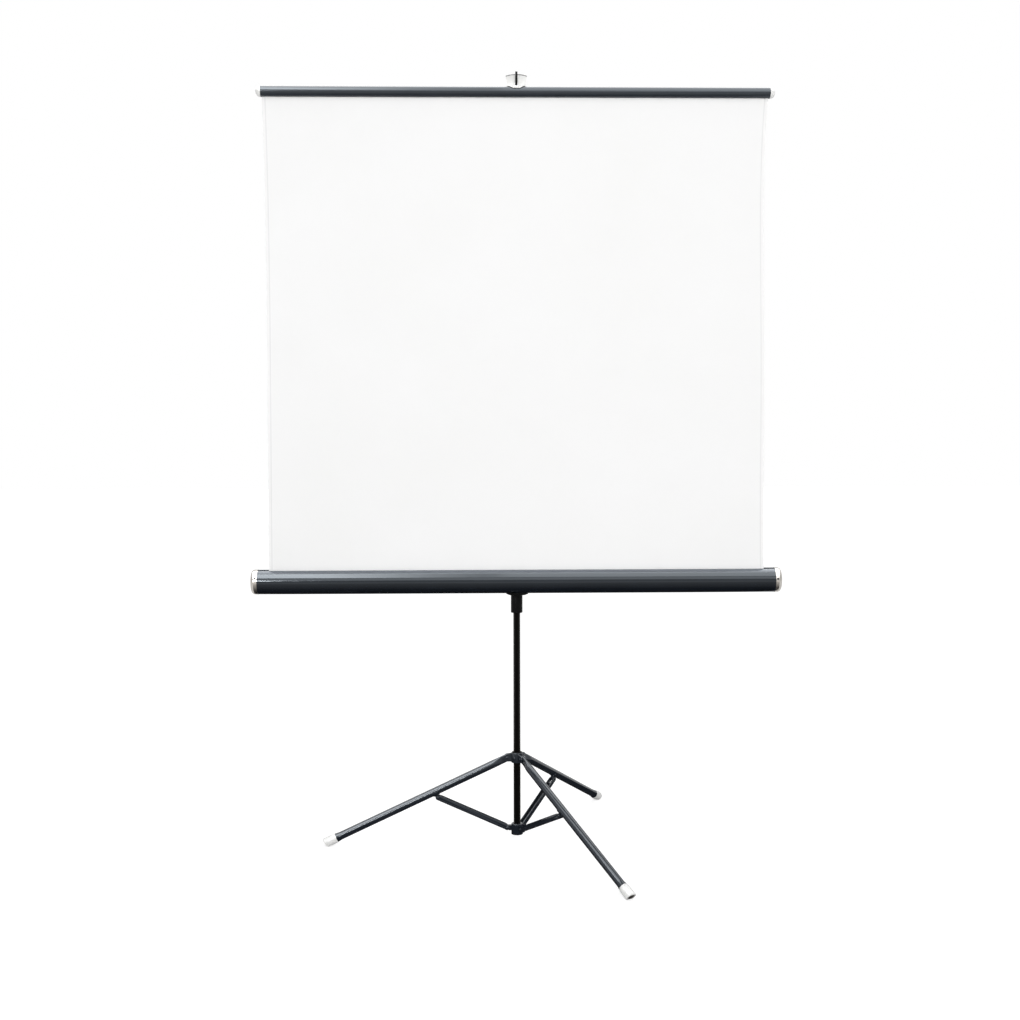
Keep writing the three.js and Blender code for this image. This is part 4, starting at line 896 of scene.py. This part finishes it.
drawn_steel = plated("drawn_steel", (0.33, 0.34, 0.35), (0.44, 0.45, 0.46), (0.32, 0.46), (0.05, 1, 1))


def coat(finish, *nodes):
    """Give a finish to solids that are shown as they are."""
    for name in nodes:
        frame["nodes"][name].material_slots[0].material = finish


coat(drawn_steel, "roller_bracket_left", "roller_bracket_right", "roller_tube", "gudgeon_pin")
coat(drawn_steel, "spring_arbor", "torsion_spring")
coat(black_plastic, "roller_plug_left", "roller_plug_right")

cloth, tree, surface = new_finish("screen_cloth")
place = node(tree, "UVMap", uv_map="cloth").outputs["UV"]
warp, weft = (
    node(tree, "TexWave", {"Vector": place, **THREADS}, bands_direction=way).outputs["Fac"]
    for way in "XY"
)
weave = node(tree, "Math", {0: warp, 1: weft}, operation="MULTIPLY").outputs["Value"]
tone = shaded(tree, noise(tree, *CLOTH_CLOUDS), CLOTH_DARK, CLOTH_LIGHT)
edge = node(tree, "Attribute", attribute_name="hem").outputs["Fac"]
weld = shaded(tree, edge, (1, 1, 1), HEM_SHADE, 0.0, 1.0)
feed(tree, surface, {
    "Base Color": node(tree, "VectorMath", {0: tone, 1: weld}, operation="MULTIPLY").outputs["Vector"],
    "Normal": bumps(tree, weave, *WEAVE_DEPTH),
    "Roughness": 0.92, "Specular IOR Level": 0.1,
})

roll_low, roll_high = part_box("wound_fabric")
roll_y = (roll_low.y + roll_high.y) / 2
roll_outer = (roll_high.z - roll_low.z) / 2
roll_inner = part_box("roller_tube")[1].z - case_z + FIT


def wound_roll():
    """A spiral strip: the radius grows evenly with the angle from the tube's face to the outer turn,
    carried along X, with an inner and an outer face joined at both edges."""
    angle = np.linspace(0, 2 * math.pi * ROLL_TURNS, ROLL_STATIONS) + math.pi
    radius = np.linspace(roll_inner, roll_outer - ROLL_WALL, ROLL_STATIONS)
    loop = np.concatenate([radius + ROLL_WALL, radius[::-1], radius[:1] + ROLL_WALL])
    turn = np.concatenate([angle, angle[::-1], angle[:1]])
    ring = np.stack([0 * loop, loop * np.cos(turn), loop * np.sin(turn)], 1)
    x = np.array([-ROLL_HALF, ROLL_HALF])[:, None, None] * (1, 0, 0)
    body = ring + x + (0, roll_y, case_z)
    face = np.stack([loop[:ROLL_STATIONS], radius])
    flat = np.stack([0 * face, face * np.cos(angle), face * np.sin(angle)], -1)
    ends = [flat + (sign * ROLL_HALF, roll_y, case_z) for sign in (-1, 1)]
    return body, *ends


roll = dress(shell("fabric_roll", *wound_roll()), cloth, "white_fabric", "roller", "wound_fabric")

# Rod. A zinc-plated tube on a plastic slider moves in the post and lifts the slat. A black plastic
# clamp on the post's top grips it, by a lobed knob at the back.
CLAMP_EASE = 0.002
ROD_WALL = 0.0015

clamp_low, clamp_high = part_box("rod_clamp")
clamp_radius = clamp_high.x
rod_low, rod_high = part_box("extension_rod")
rod_radius = rod_high.x
rod_fit = rod_radius + FIT
clamp_section = [
    (COLLAR_BORE, clamp_low.z), (clamp_radius, clamp_low.z), (clamp_radius, clamp_high.z),
    (rod_fit, clamp_high.z), (rod_fit, post_high.z + FIT), (COLLAR_BORE, post_high.z + FIT),
]
clamp = shell("clamp_ring", turned(eased(clamp_section, CLAMP_EASE, loop=True)))
dress(clamp, black_plastic, "black_plastic", "post_frame", "rod_clamp")

rod_knob = lobed_knob("rod_knob_lobes", "rod_knob_turn", clamp_radius, rod_fit)
dress(rod_knob, black_plastic, "black_plastic", "rod_knob", "rod_lock_knob")

rod_wall = straight_tube(rod_radius - ROD_WALL, rod_radius, rod_low, rod_high, POST_EASE)
dress(shell("rod_tube", rod_wall), zinc, "zinc", "rod_and_slat", "extension_rod")
coat(black_plastic, "rod_slider")

# Slat. A rolled tube in the case's grey enamel, painted paler as painted light on the slat, slotted
# below so that it grips the fabric's hem on a steel rod, with white domed plastic caps.
SLAT_WALL = 0.0012
SLAT_SLOT_HALF = 0.0025
SLAT_LIP = 0.003
SLAT_CAP_PLUG = 0.0127
SLAT_CAP_DEPTH = 0.006
SLAT_CAP_EDGE = 0.001

# A lit copy of the case's enamel. Its paler colour is painted light.
lit_slat_enamel = gloss_paint(
    "lit_slat_enamel", (0.0105, 0.014, 0.0195), (0.0145, 0.0182, 0.0242),
    specular=0.47, tint=(0.85, 0.93, 1), rough=(0.07, 0.12),
)

slat_low, slat_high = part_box("slat_tube")
slat_y = (slat_low.y + slat_high.y) / 2
slat_radius = (slat_high.y - slat_low.y) / 2
slat_z = slat_high.z - slat_radius
slat_half = slat_high.x
slat_grid = slotted_tube(
    slat_radius, -SLAT_SLOT_HALF, SLAT_SLOT_HALF, SLAT_LIP, slat_half, -1, (0, slat_y, slat_z)
)
slat = walled(shell("slat_barrel", slat_grid, closed=False), SLAT_WALL)
dress(slat, lit_slat_enamel, "grey_paint", "rod_and_slat", "slat_tube")
coat(drawn_steel, "hem_rod")

slat_cap_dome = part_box("slat_cap_right")[1].x - slat_half - FIT - SLAT_CAP_EDGE
slat_cap_section = np.vstack([
    [(0, -SLAT_CAP_DEPTH), (SLAT_CAP_PLUG, -SLAT_CAP_DEPTH), (SLAT_CAP_PLUG, FIT), (slat_radius, FIT)],
    arc((0, FIT + SLAT_CAP_EDGE), (slat_radius, slat_cap_dome), quarter),
])
for side, sign in ENDS:
    cap = turned(slat_cap_section, (sign * slat_half, slat_y, slat_z), (sign, 0, 0))
    slat_end = shell(f"slat_end_{side}", cap)
    dress(slat_end, white_plastic, "white_plastic", "rod_and_slat", f"slat_cap_{side}")

# Hanger and hook. A white plate, with painted shade in grey along its arched top rim, is riveted over
# the slat by its tongue. The black hook on the rod's top passes through its window and stands up in
# front of it.
HANGER_EASE = 0.0004
HANGER_RIM = 0.0022
HANGER_ARCH_RADIUS = 0.1017
HANGER_WHITE, RIM_SHADE_GREY = (0.80, 0.80, 0.785), (0.11, 0.11, 0.11)
HANGER_GLOSS = (0.25, 0.4)
HOOK_EASE = 0.0007

hanger_white, tree, surface = new_finish("hanger_white")
# A band of grey painted shade runs along the plate's arched top rim.
hanger_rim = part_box("hanger_plate")[1].z - HANGER_RIM
spot = node(tree, "SeparateXYZ", {0: node(tree, "TexCoord").outputs["Object"]}).outputs
squared = node(tree, "Math", {0: spot["X"], 1: spot["X"]}, operation="MULTIPLY").outputs["Value"]
arched = {0: squared, 1: 0.5 / HANGER_ARCH_RADIUS, 2: spot["Z"]}
height = node(tree, "Math", arched, operation="MULTIPLY_ADD").outputs["Value"]
rise = {"Value": height, "From Min": hanger_rim - HANGER_RIM / 3, "From Max": hanger_rim}
rim_shade = node(tree, "MapRange", rise).outputs["Result"]
feed(tree, surface, {
    "Base Color": shaded(tree, rim_shade, HANGER_WHITE, RIM_SHADE_GREY, 0.0, 1.0),
    "Roughness": ranged(tree, noise(tree, 150), *HANGER_GLOSS),
    "Specular IOR Level": 0.4,
})
hanger = eased_copy("hanger_sheet", "hanger_plate", HANGER_EASE)
dress(hanger, hanger_white, "white_plastic", "rod_and_slat", "hanger_plate")
hook = eased_copy("hook_blade", "hook", HOOK_EASE)
dress(hook, black_plastic, "black_plastic", "rod_and_slat", "hook")
coat(zinc, "hanger_rivet")

# Screen fabric. Matt white projection cloth with a narrow welded hem down each side, drawn up from
# the roller through the slot and held tight by the slat, so that its sides pull in a little.
CLOTH_HALF_THICKNESS = 0.00035
HEM_WIDTH = 0.009
HEM_LINE = 0.0022
EDGE_CURL = 0.004
CLOTH_WAVE = 0.0012
CLOTH_WAVES = ((1.0, 5.2, 1.1, 1.4), (0.6, 9.1, 0.0, -2.3))
HELD_BELOW, HELD_SPAN, HELD_POWER = 0.04, 0.94, 0.8
WAIST_HEIGHTS = (0.83, 0.90, 1.30, 1.65, 1.95, 2.12, 2.22, 2.28)
LEFT_WAIST = (0.7495, 0.7495, 0.7475, 0.7465, 0.7480, 0.7502, 0.7530, 0.7545)
RIGHT_WAIST = (0.7510, 0.7505, 0.7463, 0.7445, 0.7415, 0.7425, 0.7475, 0.7530)

cloth_low, cloth_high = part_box("screen_fabric")
cloth_y = (cloth_low.y + cloth_high.y) / 2
cloth_height = cloth_high.z - cloth_low.z


def half_width(x, z):
    """The cloth's half width at a height, from a fourth-degree curve for each side."""
    left, right = (np.polyfit(WAIST_HEIGHTS, waist, 4) for waist in (LEFT_WAIST, RIGHT_WAIST))
    return np.where(x < 0, np.polyval(left, z), np.polyval(right, z))


def hung_cloth(rows=150, columns=160):
    """A thin sheet: the half width follows the height, the face bows by slow sine waves of [share,
    turn across, start, turn with height], and both side edges curl forwards by the eighth power of
    the distance from the middle. Waves and curl die out where the sheet is held."""
    t = np.linspace(0, 1, rows)[:, None]
    s = np.sin(np.linspace(-1, 1, columns) * math.pi / 2)[None]
    z = cloth_low.z + cloth_height * t
    x = s * half_width(s, z)
    free = np.sin(math.pi * np.clip((t - HELD_BELOW) / HELD_SPAN, 0, 1)) ** HELD_POWER
    wave = sum(share * np.sin(across * s + start + up * t) for share, across, start, up in CLOTH_WAVES)
    y = cloth_y + free * (CLOTH_WAVE * wave - EDGE_CURL * s**8)
    thin = CLOTH_HALF_THICKNESS * np.ones_like(t)
    thin[0] = thin[-1] = 0
    z = np.broadcast_to(z, x.shape)
    front = np.stack([x, y - thin, z], -1)
    back = np.stack([x, y + thin, z], -1)[:, ::-1]
    return np.concatenate([front, back, front[:, :1]], 1)


def lay_threads(piece):
    """Map the weave on a piece of cloth by its X and Z in metres, and give back its points."""
    mesh = piece.data
    points = np.empty(len(mesh.vertices) * 3)
    mesh.vertices.foreach_get("co", points)
    points = points.reshape(-1, 3)
    corner = np.empty(len(mesh.loops), np.int32)
    mesh.loops.foreach_get("vertex_index", corner)
    mesh.uv_layers.new(name="cloth").data.foreach_set("uv", points[corner][:, (0, 2)].ravel())
    return points


lay_threads(roll)
screen = shell("projection_cloth", hung_cloth())
spots = lay_threads(screen)
from_edge = half_width(spots[:, 0], spots[:, 2]) - abs(spots[:, 0])
hem_share = np.clip(1 - abs(from_edge - HEM_WIDTH) / HEM_LINE, 0, 1)
hem = screen.data.attributes.new("hem", "FLOAT", "POINT")
hem.data.foreach_set("value", hem_share.astype(np.float32))
dress(screen, cloth, "white_fabric", "carriage", "screen_fabric")
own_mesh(screen)

# Studio. A plain pale floor under soft light from a wide panel in front. Bright panels overhead, in
# front and at the left, and a paper on the floor that darkens towards the object, only show in gloss.
FLOOR_EDGES = ((-30.0, -30.0, 30.0), (30.0, -30.0, 30.0))
FLOOR_SHADE = (0.62, 0.62, 0.62)
FLOOR_LIFT = 0.6
AMBIENT = 0.8
PAPER_EDGES = ((-9.0, -3.6, 3.6), (0.1, -1.0, 1.0), (7.0, -1.0, 1.0))
PAPER_LEVELS = (
    (-9.0, 1.5), (-5.0, 1.3), (-3.0, 0.84), (-1.5, 0.6),
    (-0.77, 0.38), (-0.3, 0.12), (0.1, 0.03), (7.0, 0.02),
)
PAPER_TONE = (1.0, 0.97, 0.94)
PAPER_HEIGHT = 0.001
KEY_EDGES = ((-4.4, -4.5, 0.0), (-0.7, -4.5, 0.0))
KEY_LEVELS = ((-4.5, 14.0), (-1.1, 13.0), (-0.45, 6.0), (0.0, 3.4))
KEY_TONE = (1, 1, 1)
KEY_HEIGHT = 4.4
PANELS = (
    ("front_panel", (0.35, -6.0, 2.8), (0, 0, 1.4), (3.0, 3.0), 129, "glossy"),
    ("overhead_panel", (0.0, -0.75, 4.6), (0, -0.75, 0), (8.0, 7.5), 850, "diffuse"),
    ("fore_panel", (0.0, -7.2, 4.3), (0, -0.1, 0.85), (8.0, 3.0), 150, "diffuse"),
    ("left_strip", (-2.9, -6.0, 2.45), (-0.7, -0.06, 0.83), (2.4, 0.5), 190, "diffuse"),
)


def seen_white(tree):
    """One where a camera, glossy or transmission ray looks, and nothing for the light itself."""
    ray = node(tree, "LightPath").outputs
    look = node(tree, "Math", {0: ray["Is Camera Ray"], 1: ray["Is Glossy Ray"]}, operation="ADD")
    through = {0: look.outputs["Value"], 1: ray["Is Transmission Ray"]}
    return node(tree, "Math", through, operation="ADD", use_clamp=True).outputs["Value"]


def laid_sheet(name, finish, edges, height):
    """A flat sheet of the studio, with an edge from left to right at each [y, left, right]."""
    mesh = bpy.data.meshes.new(name)
    spots = [(x, y, height) for y, left, right in edges for x in (left, right)]
    mesh.from_pydata(spots, [], [(i, i + 1, i + 3, i + 2) for i in range(0, len(spots) - 2, 2)])
    mesh.materials.append(finish)
    sheet = bpy.data.objects.new(name, mesh)
    scene.collection.objects.link(sheet)
    return sheet


pale, tree, surface = new_finish("pale_floor")
lift = node(tree, "Math", {0: seen_white(tree), 1: FLOOR_LIFT}, operation="MULTIPLY")
feed(tree, surface, {
    "Base Color": (*FLOOR_SHADE, 1), "Roughness": 1.0, "Specular IOR Level": 0.0,
    "Emission Color": (1, 1, 1, 1), "Emission Strength": lift.outputs["Value"],
})
laid_sheet("studio_floor", pale, FLOOR_EDGES, 0.0)


def gloss_sheet(name, edges, height, along, levels, tone):
    """A sheet that only glossy surfaces see. Its light is a ramp along an axis, given as [place,
    level] stops."""
    paper, tree, surface = new_finish(name)
    start, end, top = levels[0][0], levels[-1][0], max(level for place, level in levels)
    place = node(tree, "SeparateXYZ", {0: node(tree, "TexCoord").outputs["Object"]}).outputs[along]
    share = node(tree, "MapRange", {"Value": place, "From Min": start, "From Max": end})
    ramp = node(tree, "ValToRGB", {"Fac": share.outputs["Result"]})
    while len(ramp.color_ramp.elements) < len(levels):
        ramp.color_ramp.elements.new(0.5)
    for stop, (spot, level) in zip(ramp.color_ramp.elements, levels):
        stop.position = (spot - start) / (end - start)
        stop.color = (*(level / top * np.array(tone)), 1)
    feed(tree, surface, {
        "Base Color": (0, 0, 0, 1), "Specular IOR Level": 0.0,
        "Emission Strength": top, "Emission Color": ramp.outputs["Color"],
    })
    sheet = laid_sheet(name, paper, edges, height)
    for ray in ("camera", "diffuse", "shadow", "transmission"):
        setattr(sheet, f"visible_{ray}", False)


gloss_sheet("floor_paper", PAPER_EDGES, PAPER_HEIGHT, "Y", PAPER_LEVELS, PAPER_TONE)
gloss_sheet("left_key", KEY_EDGES, KEY_HEIGHT, "X", KEY_LEVELS, KEY_TONE)

world = bpy.data.worlds.new("white_studio")
scene.world = world
world.use_nodes = True
tree = world.node_tree
level = node(tree, "MapRange", {"Value": seen_white(tree), "To Min": AMBIENT, "To Max": 1.0})
white = {"Color": (1, 1, 1, 1), "Strength": level.outputs["Result"]}
feed(tree, tree.nodes["Background"], white)


def softbox(name, place, aim, size, power, unseen):
    """An oblong studio panel at a place, facing a point, that one kind of ray doesn't see."""
    panel = bpy.data.lights.new(name, "AREA")
    panel.shape = "RECTANGLE"
    panel.size, panel.size_y = size
    panel.energy = power
    lamp = bpy.data.objects.new(name, panel)
    away = Vector(place) - Vector(aim)
    lamp.matrix_world = Matrix.Translation(place) @ away.to_track_quat("Z", "Y").to_matrix().to_4x4()
    setattr(lamp, f"visible_{unseen}", False)
    scene.collection.objects.link(lamp)


for panel in PANELS:
    softbox(*panel)
